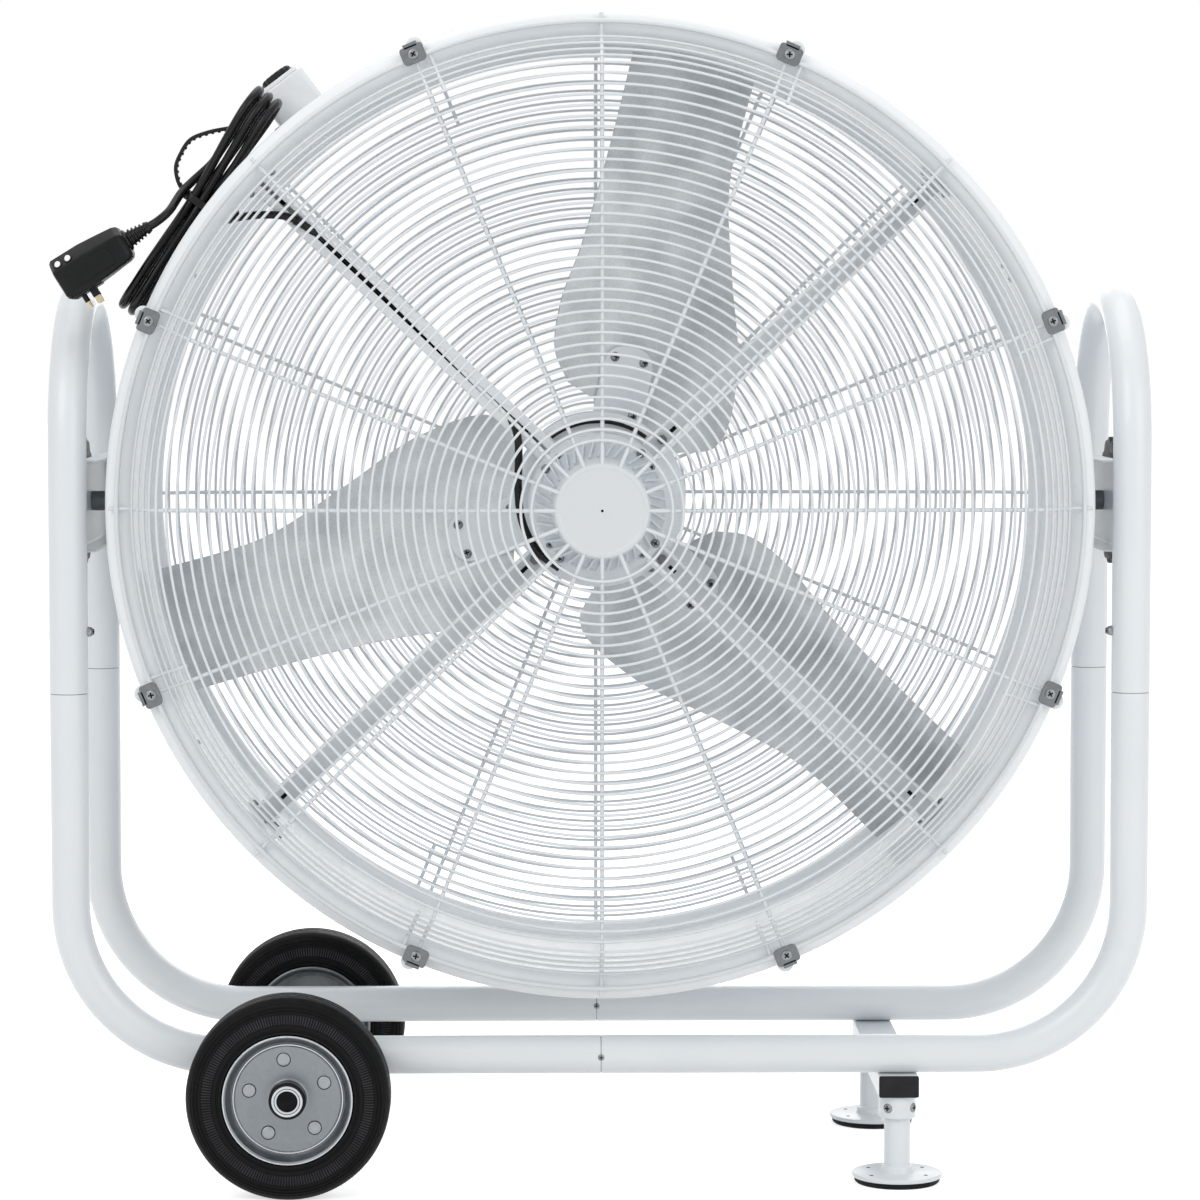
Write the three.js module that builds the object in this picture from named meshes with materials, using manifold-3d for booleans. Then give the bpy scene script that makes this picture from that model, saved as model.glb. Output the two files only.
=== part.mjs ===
// Drum fan: a steel barrel with wire guards, tilting between two tube arches on a wheeled stand.
// Millimetres, +Z up. The origin is on the floor below the middle of the barrel, and air blows toward -Y.
import * as THREE from "three";
import { mergeVertices } from "three/addons/utils/BufferGeometryUtils.js";
import Module from "manifold-3d";

const wasm = await Module();
wasm.setup();

// Clearances
const seat = 0.3;
const weldDepth = 4;

// Stand
const tubeRadius = 19;
const tubeWall = 1.8;
const tubeSides = 12;
const bendRadius = 150;
const bendSteps = 5;
const sideGap = 50.3;
const tubeSpacing = 300;
const archRise = 225;
const seamDrop = 184;
const spigotLength = 55;
const spigotWall = 2.6;

// Wheels
const wheelRadius = 100;
const wheelWidth = 50;
const rimRadius = 60;
const axleRadius = 10;
const axleWall = 3;
const axleX = -307;
const wheelGap = 17;
const wheelSegments = 20;

// Feet
const footX = 296;
const crossbarWidth = 40;
const crossbarHeight = 22;
const crossbarWall = 2;
const crossbarOverhang = 18;
const collarRadius = 17.5;
const collarLength = 23;
const footTubeRadius = 13;
const footTubeWall = 2.2;
const footSlip = 0.4;
const footDiscRadius = 45;
const padThickness = 5.7;

// Barrel
const groundClearance = 188;
const drumRadius = 474;
const sheet = 1.2;
const drumSegments = 28;
const drumDepth = 330;
const beadRadius = 13;

// Guards
const wireRadius = 2.18;
const spokeRadius = 3.11;
const wireOverlap = 1.2;
const spokeCount = 8;
const guardSegments = 24;
const frontGuardReach = 71;
const rearGuardReach = 47;
const ringCount = 7;
const rearRingCount = 4;
const guardDiscRadius = 47;
const clipCount = 8;
const clipWidth = 26;
const clipSheet = 2;

// Motor and rotor
const motorRadius = 71;
const motorFront = -130;
const motorRear = 14;
const strutWidth = 24;
const strutDepth = 20;
const strutSheet = 2;
const shaftRadius = 9.5;
const rotorPlane = 56;
const armThickness = 5;
const armWidth = 56;
const armReach = 160;
const bladeThickness = 2.5;
const bladeTipGap = 10;
const rootPitch = THREE.MathUtils.degToRad(25);
const tipPitch = THREE.MathUtils.degToRad(18);
const bladeAngles = [78.6, 198.6, 318.6];

// Pivots
const channelWeb = 3;
const channelHeight = 90;
const channelDepth = 23;
const studRadius = 6.5;
const knobRadius = 65;
const knobThickness = 24;

// Switch box and cord
const boxAngle = 127.2;
const boxWidth = 54;
const boxDepth = 80;
const boxHeight = 53.5;
const boxMiddleY = -28;
const cordRadius = 4.25;
const cordSides = 8;
const hankAngle = 144.7;

// Derived places
const drumOuter = drumRadius + sheet;
const drumEnd = drumDepth / 2;
const beadFace = drumEnd + beadRadius;
const guardFlange = beadFace + seat + wireRadius + 1.5 * spokeRadius - wireOverlap;
const pivotHeight = groundClearance + drumRadius + beadRadius;
const legX = drumOuter + sideGap;
const webOuter = legX - 4.5;
const tubeY = tubeSpacing / 2;
const bottomTubeZ = wheelRadius + axleRadius + seat + tubeRadius;
// The arch is a half circle between its two legs.
const archBend = tubeY;
const springline = pivotHeight + archRise - tubeRadius - archBend;
const legSeamHeight = pivotHeight - seamDrop;
const tubeBore = tubeRadius - tubeWall;
const spigotRadius = tubeBore - seat;
const wheelOffset = tubeY + tubeRadius + wheelGap + wheelWidth / 2;
const crossbarLength = tubeSpacing + crossbarOverhang * 2;
const bladeTipRadius = drumRadius - bladeTipGap;

// ---------- shared helpers ----------

const finishes = {
  whitePaint: { color: 0xe3e7ea, roughness: 0.45, metalness: 0 },
  zinc: { color: 0x9a9da0, roughness: 0.4, metalness: 1 },
  bladeMetal: { color: 0xb9bdc0, roughness: 0.42, metalness: 1 },
  rubber: { color: 0x0e0e10, roughness: 0.85, metalness: 0 },
  blackPlastic: { color: 0x17181a, roughness: 0.5, metalness: 0 },
  whitePlastic: { color: 0xe9e9e6, roughness: 0.4, metalness: 0 },
  brass: { color: 0xb08d4a, roughness: 0.35, metalness: 1 },
};

function named(name, geometry, finish) {
  const mesh = new THREE.Mesh(geometry, new THREE.MeshStandardMaterial(finishes[finish]));
  mesh.name = name;
  return mesh;
}

function place(mesh, x, y, z) {
  mesh.position.set(x, y, z);
  return mesh;
}

// Shared corners become one vertex, and triangles that close up to a line go.
function weld(geometry) {
  const bare = geometry.clone();
  bare.deleteAttribute("normal");
  bare.deleteAttribute("uv");
  const merged = mergeVertices(bare, 1e-4);
  const corners = merged.index.array;
  const kept = [];
  for (let i = 0; i < corners.length; i += 3) {
    const [a, b, c] = [corners[i], corners[i + 1], corners[i + 2]];
    if (a !== b && b !== c && c !== a) kept.push(a, b, c);
  }
  merged.setIndex(kept);
  return merged;
}

function toSolid(geometry) {
  const merged = weld(geometry);
  return new wasm.Manifold(new wasm.Mesh({
    numProp: 3,
    vertProperties: new Float32Array(merged.attributes.position.array),
    triVerts: new Uint32Array(merged.index.array),
  }));
}

function toGeometry(solid) {
  const mesh = solid.getMesh();
  const geometry = new THREE.BufferGeometry();
  geometry.setAttribute("position", new THREE.BufferAttribute(mesh.vertProperties, 3));
  geometry.setIndex(new THREE.BufferAttribute(mesh.triVerts, 1));
  geometry.computeVertexNormals();
  return geometry;
}

function join(...geometries) {
  return toGeometry(geometries.map(toSolid).reduce((whole, next) => whole.add(next)));
}

function cut(geometry, ...tools) {
  return toGeometry(tools.map(toSolid).reduce((whole, next) => whole.subtract(next), toSolid(geometry)));
}

function keepInside(geometry, tool) {
  return toGeometry(toSolid(geometry).intersect(toSolid(tool)));
}

// A closed outline of (radius, y) pairs turned about Y, whichever way round it is written.
function lathe(outline, segments) {
  const points = outline.map(([r, y]) => new THREE.Vector2(r, y));
  if (THREE.ShapeUtils.area(points) < 0) points.reverse();
  points.push(points[0].clone());
  return new THREE.LatheGeometry(points, segments);
}

function cylinder(radius, from, to, segments) {
  return lathe([[0, from], [radius, from], [radius, to], [0, to]], segments);
}

function ring(inner, outer, from, to, segments) {
  return lathe([[inner, from], [outer, from], [outer, to], [inner, to]], segments);
}

function block(x0, x1, y0, y1, z0, z1) {
  const box = new THREE.BoxGeometry(x1 - x0, y1 - y0, z1 - z0);
  return box.translate((x0 + x1) / 2, (y0 + y1) / 2, (z0 + z1) / 2);
}

function upright(geometry) {
  return geometry.rotateX(Math.PI / 2);
}

function polygon(radius, sides, start = 0) {
  const corners = [];
  for (let i = 0; i < sides; i += 1) {
    const angle = start + (i / sides) * 2 * Math.PI;
    corners.push(new THREE.Vector2(radius * Math.cos(angle), radius * Math.sin(angle)));
  }
  return corners;
}

// A route that is followed station by station, so bends keep their own spacing.
class Route extends THREE.Curve {
  constructor(stations) {
    super();
    this.stations = stations;
  }

  getPoint(t, target = new THREE.Vector3()) {
    const place = t * (this.stations.length - 1);
    const index = Math.min(Math.floor(place + 1e-9), this.stations.length - 2);
    return target.lerpVectors(this.stations[index], this.stations[index + 1], place - index);
  }

  getPointAt(u, target) {
    return this.getPoint(u, target);
  }

  getTangentAt(u, target = new THREE.Vector3()) {
    const last = this.stations.length - 1;
    const index = Math.round(u * last);
    const before = this.stations[Math.max(index - 1, 0)];
    const here = this.stations[index];
    const after = this.stations[Math.min(index + 1, last)];
    const arriving = here.clone().sub(before).normalize();
    const leaving = after.clone().sub(here).normalize();
    return target.addVectors(arriving, leaving).normalize();
  }
}

function sweep(corners, stations, holeCorners) {
  const section = new THREE.Shape(corners);
  if (holeCorners) section.holes.push(new THREE.Path(holeCorners));
  const steps = stations.length - 1;
  return new THREE.ExtrudeGeometry(section, { extrudePath: new Route(stations), steps });
}

// Points on an arc: centre plus a radius along two unit directions.
function arc(centre, first, second, radius, steps) {
  const points = [];
  for (let i = 0; i <= steps; i += 1) {
    const angle = (i / steps) * (Math.PI / 2);
    points.push(centre.clone()
      .addScaledVector(first, radius * Math.cos(angle))
      .addScaledVector(second, radius * Math.sin(angle)));
  }
  return points;
}

// A group turned about the barrel's axis: x runs round the barrel clockwise, y along it, z outward.
function onBarrel(angle, ...meshes) {
  const group = new THREE.Group();
  group.position.z = pivotHeight;
  group.rotation.y = THREE.MathUtils.degToRad(90 - angle);
  if (meshes.length) group.add(...meshes);
  return group;
}

function turned(geometry, angle) {
  return geometry.rotateY(THREE.MathUtils.degToRad(90 - angle));
}

// ---------- stand ----------

const up = new THREE.Vector3(0, 0, 1);
const down = new THREE.Vector3(0, 0, -1);

function hollowTube(stations) {
  return sweep(polygon(tubeRadius, tubeSides), stations, polygon(tubeBore, tubeSides));
}

// The swaged end that slides into the next tube, along +Y from its shoulder.
function spigot() {
  const bore = spigotRadius - spigotWall;
  const shoulder = (tubeBore + tubeRadius) / 2;
  const outline = [[bore, -weldDepth], [shoulder, -weldDepth], [shoulder, 0], [spigotRadius, 0],
    [spigotRadius, spigotLength], [bore, spigotLength]];
  return lathe(outline, tubeSides);
}

// One quarter of the base: half a bottom tube, the bend and the leg, up to the arch's seam.
function cornerTube(side, y) {
  const out = new THREE.Vector3(side, 0, 0);
  const bendCentre = new THREE.Vector3(side * (legX - bendRadius), y, bottomTubeZ + bendRadius);
  const stations = [
    new THREE.Vector3((side * seat) / 2, y, bottomTubeZ),
    ...arc(bendCentre, down, out, bendRadius, bendSteps),
    new THREE.Vector3(side * legX, y, legSeamHeight - seat / 2),
  ];
  const legSpigot = spigot().rotateX(Math.PI / 2).translate(side * legX, y, legSeamHeight - seat / 2);
  if (side > 0) return join(hollowTube(stations), legSpigot);
  const floorSpigot = spigot().rotateZ(-Math.PI / 2).translate(-seat / 2, y, bottomTubeZ);
  return join(hollowTube(stations), legSpigot, floorSpigot);
}

function archTube(side) {
  const front = new THREE.Vector3(0, -1, 0);
  const rear = new THREE.Vector3(0, 1, 0);
  const centre = new THREE.Vector3(side * legX, 0, springline);
  const rising = arc(centre, front, up, archBend, bendSteps);
  const falling = arc(centre, up, rear, archBend, bendSteps);
  return hollowTube([
    new THREE.Vector3(side * legX, -tubeY, legSeamHeight + seat / 2),
    ...rising,
    ...falling.slice(1),
    new THREE.Vector3(side * legX, tubeY, legSeamHeight + seat / 2),
  ]);
}

// A folded channel between the two legs of a side, coped round both tubes, with the tilt pin's hole.
function pivotChannel(side) {
  const innerEdge = webOuter - channelDepth;
  const bottom = pivotHeight - channelHeight / 2;
  const top = pivotHeight + channelHeight / 2;
  const profile = new THREE.Shape([
    new THREE.Vector2(innerEdge, bottom),
    new THREE.Vector2(webOuter, bottom),
    new THREE.Vector2(webOuter, top),
    new THREE.Vector2(innerEdge, top),
    new THREE.Vector2(innerEdge, top - channelWeb),
    new THREE.Vector2(webOuter - channelWeb, top - channelWeb),
    new THREE.Vector2(webOuter - channelWeb, bottom + channelWeb),
    new THREE.Vector2(innerEdge, bottom + channelWeb),
  ]);
  const folded = upright(new THREE.ExtrudeGeometry(profile, { depth: tubeSpacing, bevelEnabled: false }));
  folded.translate(0, tubeY, 0);
  const leg = (y) => upright(cylinder(tubeRadius + seat, bottom - 9, top + 9, tubeSides))
    .translate(legX, y, 0);
  const pinHole = cylinder(studRadius + seat, -20, 20, tubeSides).rotateZ(Math.PI / 2)
    .translate(webOuter, 0, pivotHeight);
  const coped = cut(folded, leg(-tubeY), leg(tubeY), pinHole);
  return side > 0 ? coped : mirrored(coped);
}

// The same piece for the other side of the fan.
function mirrored(geometry) {
  const twin = geometry.clone().scale(-1, 1, 1);
  const corners = twin.index.array;
  for (let i = 0; i < corners.length; i += 3) {
    const first = corners[i];
    corners[i] = corners[i + 1];
    corners[i + 1] = first;
  }
  twin.computeVertexNormals();
  return twin;
}

function buildStand() {
  const stand = new THREE.Group();
  for (const [sideName, side] of [["left", -1], ["right", 1]]) {
    for (const [faceName, y] of [["front", -tubeY], ["rear", tubeY]]) {
      stand.add(named(`corner_tube_${faceName}_${sideName}`, cornerTube(side, y), "whitePaint"));
    }
    stand.add(named(`arch_tube_${sideName}`, archTube(side), "whitePaint"));
    stand.add(named(`pivot_channel_${sideName}`, pivotChannel(side), "whitePaint"));
  }
  return stand;
}

// ---------- wheels ----------

function tyre() {
  const half = wheelWidth / 2;
  const bead = half - 5.3;
  const outline = [[rimRadius, -bead], [rimRadius + 2.2, -bead], [rimRadius + 3, -half],
    [wheelRadius - 9, -half], [wheelRadius, -half + 8], [wheelRadius, half - 8],
    [wheelRadius - 9, half], [rimRadius + 3, half], [rimRadius + 2.2, bead], [rimRadius, bead]];
  return lathe(outline, wheelSegments);
}

// Pressed steel rim: two lips, a barrel, a dished disc and a hub sleeve, with the outer side toward -Y.
function rim() {
  const half = wheelWidth / 2;
  const barrel = rimRadius - seat;
  const bore = axleRadius + seat;
  const outline = [[bore, -half - 5.5], [14, -half - 5.5], [17.5, -half], [17.5, -11], [48, -17],
    [barrel - 3, -half + 1], [barrel + 1.8, -half + 1], [barrel, -half + 5.3],
    [barrel, half - 5.3], [barrel + 1.8, half - 1], [barrel - 3, half - 1],
    [barrel - 3, -half + 8], [48, -14], [17.5, -8], [14, half - 2], [bore, half - 2]];
  return lathe(outline, wheelSegments);
}

function buildWheels() {
  const wheels = new THREE.Group();
  for (const [faceName, face] of [["front", -1], ["rear", 1]]) {
    const wheel = new THREE.Group();
    wheel.position.set(axleX, face * wheelOffset, wheelRadius);
    if (face > 0) wheel.rotation.z = Math.PI;
    wheel.add(named(`tyre_${faceName}`, tyre(), "rubber"));
    wheel.add(named(`wheel_rim_${faceName}`, rim(), "zinc"));
    wheels.add(wheel);
  }
  const axleEnd = wheelOffset + wheelWidth / 2 + 4;
  const axle = ring(axleRadius - axleWall, axleRadius, -axleEnd, axleEnd, 16);
  wheels.add(place(named("wheel_axle", axle, "zinc"), axleX, 0, wheelRadius));
  return wheels;
}

// ---------- feet ----------

const crossbarTop = bottomTubeZ - tubeRadius - seat;
const crossbarBottom = crossbarTop - crossbarHeight;

function rectangle(halfWidth, halfHeight) {
  return [
    new THREE.Vector2(-halfWidth, -halfHeight),
    new THREE.Vector2(halfWidth, -halfHeight),
    new THREE.Vector2(halfWidth, halfHeight),
    new THREE.Vector2(-halfWidth, halfHeight),
  ];
}

// A rectangular tube across both bottom tubes, with a round collar welded under each.
function footCrossbar() {
  const section = new THREE.Shape(rectangle(crossbarWidth / 2, crossbarHeight / 2));
  const bore = rectangle(crossbarWidth / 2 - crossbarWall, crossbarHeight / 2 - crossbarWall);
  section.holes.push(new THREE.Path(bore));
  const bar = upright(new THREE.ExtrudeGeometry(section, { depth: crossbarLength, bevelEnabled: false }));
  bar.translate(0, crossbarLength / 2, (crossbarTop + crossbarBottom) / 2);
  const parts = [bar];
  const holes = [];
  for (const y of [-tubeY, tubeY]) {
    const top = crossbarBottom + crossbarWall / 2;
    const collar = upright(cylinder(collarRadius, top - collarLength, top, 16));
    parts.push(collar.translate(0, y, 0));
    const passage = upright(cylinder(footTubeRadius + footSlip, 0, crossbarTop - crossbarWall - 1, 16));
    holes.push(passage.translate(0, y, 0));
  }
  return cut(join(...parts), ...holes);
}

// The cap's tongue is coped to leave room for the foot's leg when it is screwed up.
function crossbarCap(face) {
  const halfWidth = crossbarWidth / 2;
  const halfHeight = crossbarHeight / 2;
  const plug = 12;
  const end = crossbarLength / 2 + seat;
  const inset = crossbarWall + seat;
  const lid = block(-halfWidth, halfWidth, end, end + 3, -halfHeight, halfHeight);
  const tongue = block(-halfWidth + inset, halfWidth - inset, end - plug, end + 1,
    -halfHeight + inset, halfHeight - inset);
  const legRoom = upright(cylinder(footTubeRadius + footSlip + seat, -20, 20, 16)).translate(0, tubeY, 0);
  return cut(join(lid, tongue), legRoom).rotateZ(face > 0 ? 0 : Math.PI);
}

// The foot's leg, cup and disc as one revolved welded piece, hollow from the top.
function footLeg() {
  const discBottom = padThickness + seat;
  const discTop = discBottom + 4;
  const cupTop = discTop + 7;
  const legTop = crossbarBottom - 4;
  const bore = footTubeRadius - footTubeWall;
  const outline = [[0, discBottom], [footDiscRadius, discBottom], [footDiscRadius, discTop],
    [footTubeRadius + 4, discTop], [footTubeRadius + 2.5, cupTop], [footTubeRadius, cupTop],
    [footTubeRadius, legTop], [bore, legTop], [bore, cupTop], [0, cupTop]];
  return upright(lathe(outline, 12));
}

function footPad() {
  const radius = footDiscRadius - 3;
  const outline = [[0, 0], [radius - 2, 0], [radius, 2], [radius, padThickness], [0, padThickness]];
  return upright(lathe(outline, 16));
}

function buildFeet() {
  const feet = new THREE.Group();
  feet.position.x = footX;
  feet.add(named("foot_crossbar", footCrossbar(), "whitePaint"));
  for (const [faceName, face] of [["front", -1], ["rear", 1]]) {
    const capHeight = (crossbarTop + crossbarBottom) / 2;
    feet.add(place(named(`crossbar_cap_${faceName}`, crossbarCap(face), "blackPlastic"), 0, 0, capHeight));
    feet.add(place(named(`foot_leg_${faceName}`, footLeg(), "whitePaint"), 0, face * tubeY, 0));
    feet.add(place(named(`foot_pad_${faceName}`, footPad(), "rubber"), 0, face * tubeY, 0));
  }
  return feet;
}

// ---------- barrel ----------

// One face of a rolled edge: from the wall inward, round the end and outward again, left open.
function curl(radius, face, fromDegrees) {
  const toDegrees = 480;
  const steps = 5;
  const points = [];
  for (let i = 0; i <= steps; i += 1) {
    const angle = THREE.MathUtils.degToRad(fromDegrees + (i / steps) * (toDegrees - fromDegrees));
    points.push([drumRadius + radius * Math.sin(angle), face * (drumEnd + radius * Math.cos(angle))]);
  }
  return points;
}

// The wall and both rolled edges are one bent sheet, drawn as one outline.
function drumShell() {
  const innerRadius = beadRadius - sheet;
  const wallMeets = 180 - THREE.MathUtils.radToDeg(Math.asin(sheet / innerRadius));
  const outline = [
    ...curl(beadRadius, -1, 180),
    ...curl(innerRadius, -1, wallMeets).reverse(),
    ...curl(innerRadius, 1, wallMeets),
    ...curl(beadRadius, 1, 180).reverse(),
  ];
  return lathe(outline, drumSegments);
}

// What sits on the wall's outer or inner face follows its flats, a seat's width away.
function outsideWall(geometry) {
  return cut(geometry, cylinder(drumOuter + seat, -drumEnd, drumEnd, drumSegments));
}

function insideWall(geometry) {
  return keepInside(geometry, cylinder(drumRadius - seat, -drumEnd, drumEnd, drumSegments));
}

// ---------- guards ----------

// Both guards are drawn reaching toward +Y; the front one is then turned about Z.
function facing(geometry, face) {
  return face > 0 ? geometry : geometry.rotateZ(Math.PI);
}

// A guard's cross-section from the flange to the middle, as corners of (radius, reach).
function guardProfile(middle, shoulder) {
  const corners = [
    [drumRadius + 8, guardFlange],
    [drumRadius - 12, guardFlange],
    [drumRadius - 42, shoulder],
    [guardDiscRadius - 6, middle],
  ];
  return corners.map(([radius, reach]) => new THREE.Vector2(radius, reach));
}

function outwardNormal(from, to) {
  const along = to.clone().sub(from).normalize();
  return new THREE.Vector2(along.y, -along.x);
}

// A ring of three-sided wire whose ridge meets the spokes behind it.
function wireRing(profile, radius) {
  const index = profile.findIndex((corner) => corner.x < radius);
  const [outer, inner] = [profile[index - 1], profile[index]];
  const share = (outer.x - radius) / (outer.x - inner.x);
  const reach = outer.y + (inner.y - outer.y) * share;
  const ridge = outwardNormal(outer, inner).angle() + Math.PI;
  const section = polygon(wireRadius, 3, ridge);
  const segments = radius > drumRadius / 2.2 ? guardSegments : spokeCount * 2;
  const wire = lathe(section.map((corner) => [corner.x + radius, corner.y + reach]), segments);
  return turned(wire, spokeAngle(0));
}

// A spoke of three-sided wire that follows the cross-section, its ridge toward the rings.
function spoke(profile, angle) {
  const crossing = wireRadius + spokeRadius - wireOverlap;
  const stations = profile.map((corner, index) => {
    const before = profile[Math.max(index - 1, 0)];
    const after = profile[Math.min(index + 1, profile.length - 1)];
    const arriving = outwardNormal(index ? before : corner, index ? corner : after);
    const leaving = outwardNormal(index < profile.length - 1 ? corner : before, index < profile.length - 1
      ? after : corner);
    const mitre = arriving.clone().add(leaving).normalize();
    const behind = corner.clone().addScaledVector(mitre, -crossing / mitre.dot(arriving));
    return new THREE.Vector3(0, behind.y, behind.x);
  });
  return turned(sweep(polygon(spokeRadius, 3, Math.PI), stations), angle);
}

function guard(face, middle, crown, faceRings) {
  const profile = guardProfile(middle, middle - crown);
  const radii = [drumRadius, drumRadius - 27];
  const outermost = drumRadius - 52;
  const innermost = guardDiscRadius + 24;
  for (let i = 0; i < faceRings; i += 1) {
    radii.push(outermost + ((innermost - outermost) * i) / (faceRings - 1));
  }
  const wires = radii.map((radius) => wireRing(profile, radius));
  for (let i = 0; i < spokeCount; i += 1) wires.push(spoke(profile, spokeAngle(i)));
  wires.push(cylinder(guardDiscRadius, middle - 1.4, middle + 0.8, guardSegments));
  return facing(join(...wires), face);
}

function spokeAngle(index) {
  return 22.5 + (index * 360) / spokeCount;
}

// A bent tab over the guard's outer ring, hooked behind the rolled edge.
function guardClip() {
  const back = -(guardFlange + wireRadius / 2 + seat);
  const front = back - clipSheet;
  const outer = drumRadius + beadRadius + 2 + clipSheet;
  const half = clipWidth / 2;
  const plate = block(-half, half, front, back, drumRadius - 11, outer);
  const hook = block(-half, half, back - clipSheet / 2, -drumEnd - 3, outer - clipSheet, outer);
  return join(plate, hook);
}

// ---------- motor, struts and rotor ----------

function motorHousing() {
  const rearFace = motorRear + seat;
  const bore = shaftRadius + seat;
  const outline = [[0, motorFront], [motorRadius - 5, motorFront], [motorRadius, motorFront + 6],
    [motorRadius, rearFace], [motorRadius + 19, rearFace], [motorRadius + 19, rearFace + 6],
    [40, rearFace + 6], [34, rearFace + 8], [bore, rearFace + 8], [bore, motorRear - 26],
    [0, motorRear - 26]];
  return lathe(outline, 24);
}

// The vented end cover, with slanted fins round its edge.
function motorFrontBell() {
  const back = motorFront - seat;
  const radius = motorRadius - 8;
  const outline = [[0, back - 20], [radius - 23, back - 20], [radius - 11, back - 16],
    [radius - 11, back - 6], [radius, back - 6], [radius, back], [0, back]];
  const parts = [lathe(outline, 24)];
  const finCount = 14;
  for (let i = 0; i < finCount; i += 1) {
    const fin = block(-1.3, 1.3, back - 16, back - 5, radius - 14, radius - 0.5);
    fin.translate(0, 0, -radius + 7).rotateY(0.5).translate(0, 0, radius - 7);
    parts.push(fin.rotateY((i / finCount) * 2 * Math.PI));
  }
  return join(...parts);
}

// An open-fronted channel from the motor's flange to the wall, with a foot against the wall.
function motorStrut(angle) {
  const half = strutWidth / 2;
  const front = motorRear - strutDepth;
  const inner = motorRadius + 2;
  const outer = drumRadius + 6;
  const web = block(-half, half, motorRear - strutSheet, motorRear, inner, outer);
  const sides = [-1, 1].map((side) => {
    const edge = side * half;
    const back = edge - side * strutSheet;
    return block(Math.min(edge, back), Math.max(edge, back), front, motorRear, inner, outer);
  });
  const foot = block(-half - 8, half + 8, front - 6, motorRear + 6, drumRadius - 5, outer);
  return insideWall(turned(join(web, ...sides, foot), angle));
}

// The motor's lead: through the wall, along the upper left strut and round the motor's side.
function motorCable() {
  const inChannel = motorRear - strutSheet - seat - cordRadius;
  const nearWall = [[6, 142.1, -14], [24, 139.8, -15], [46, 137.6, -13], [69, 136.8, -6],
    [92, 136.7, 2], [116, 136.7, inChannel - 1.5], [141, 136.7, inChannel], [174, 136.7, inChannel]];
  const nearMotor = [[139, 136.7, inChannel], [107, 136.7, inChannel], [84, 136.7, inChannel - 1.5],
    [63, 136.8, 1.5], [46, 138, -6], [32, 143, -14], [20, 154, -16], [12, 172, -14], [10, 195, -13],
    [10, 220, -13], [9, 240, -13]];
  const placed = (radius, degrees, y) => {
    const angle = THREE.MathUtils.degToRad(degrees);
    return new THREE.Vector3(radius * Math.cos(angle), y, radius * Math.sin(angle));
  };
  const points = [
    ...nearWall.map(([gap, degrees, y]) => placed(drumRadius - gap, degrees, y)),
    ...nearMotor.map(([gap, degrees, y]) => placed(motorRadius + gap, degrees, y)),
  ];
  const curve = new THREE.CatmullRomCurve3(points, false, "centripetal");
  return sweep(polygon(cordRadius, cordSides), curve.getSpacedPoints(24));
}

function motorShaft() {
  return cylinder(shaftRadius, motorRear - 24, rotorPlane + 10, 16);
}

// Boss, flange and three flat arms, each arm pitched about its own radius.
function hubSpider() {
  const bore = shaftRadius + seat;
  const parts = [
    ring(bore, 20, rotorPlane - 31, rotorPlane + 9.5, 16),
    ring(bore + 4, 45, rotorPlane - 3, rotorPlane + 3, 24),
  ];
  for (const angle of bladeAngles) {
    const halfThick = armThickness / 2;
    const arm = block(-armWidth / 2 + 4, armWidth / 2 + 4, -halfThick, halfThick, 26, armReach);
    arm.rotateZ(rootPitch).translate(0, rotorPlane, 0);
    parts.push(turned(arm, angle));
  }
  return cut(join(...parts), cylinder(bore, rotorPlane - 60, rotorPlane + 60, 16));
}

function onTip(across) {
  return new THREE.Vector2(across, Math.sqrt(bladeTipRadius ** 2 - across ** 2));
}

// A wide pressed blade: both long edges are curves, and the pitch eases toward the tip.
function blade(angle) {
  const leading = new THREE.SplineCurve([
    new THREE.Vector2(-52, 112), new THREE.Vector2(-72, 142), new THREE.Vector2(-76, 191),
    new THREE.Vector2(-67, 250), new THREE.Vector2(-59, 345), onTip(-53),
  ]);
  const trailing = new THREE.SplineCurve([
    new THREE.Vector2(72, 60), new THREE.Vector2(115, 76), new THREE.Vector2(121, 155),
    new THREE.Vector2(95, 250), new THREE.Vector2(72, 345), onTip(76),
  ]);
  const sheetBox = new THREE.BoxGeometry(1, 1, 1, 4, 10, 1);
  const position = sheetBox.attributes.position;
  const lift = (armThickness + bladeThickness) / 2 + seat;
  for (let i = 0; i < position.count; i += 1) {
    const across = position.getX(i) + 0.5;
    const along = position.getY(i) + 0.5;
    const spot = leading.getPoint(along).lerp(trailing.getPoint(along), across);
    const endArc = Math.sqrt(bladeTipRadius ** 2 - spot.x ** 2) - spot.y;
    const radius = spot.y + (along > 0.9 ? endArc * (along - 0.9) * 10 : 0);
    const ease = THREE.MathUtils.smoothstep(radius, armReach + 10, bladeTipRadius);
    const pitch = THREE.MathUtils.lerp(rootPitch, tipPitch, ease);
    const offset = lift - position.getZ(i) * bladeThickness;
    const x = spot.x - offset * Math.sin(pitch);
    const y = rotorPlane + spot.x * Math.tan(pitch) + offset * Math.cos(pitch);
    position.setXYZ(i, x, y, radius);
  }
  return turned(sheetBox, angle);
}

// ---------- pivots ----------

function pivotStud(side) {
  const shoulder = webOuter - channelWeb - seat;
  const outline = [[0, drumOuter - 8], [22, drumOuter - 8], [22, drumOuter + 5], [10, drumOuter + 5],
    [10, shoulder], [studRadius, shoulder], [studRadius, webOuter + knobThickness + 1],
    [0, webOuter + knobThickness + 1]];
  return outsideWall(lathe(outline, tubeSides).rotateZ((-side * Math.PI) / 2));
}

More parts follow.
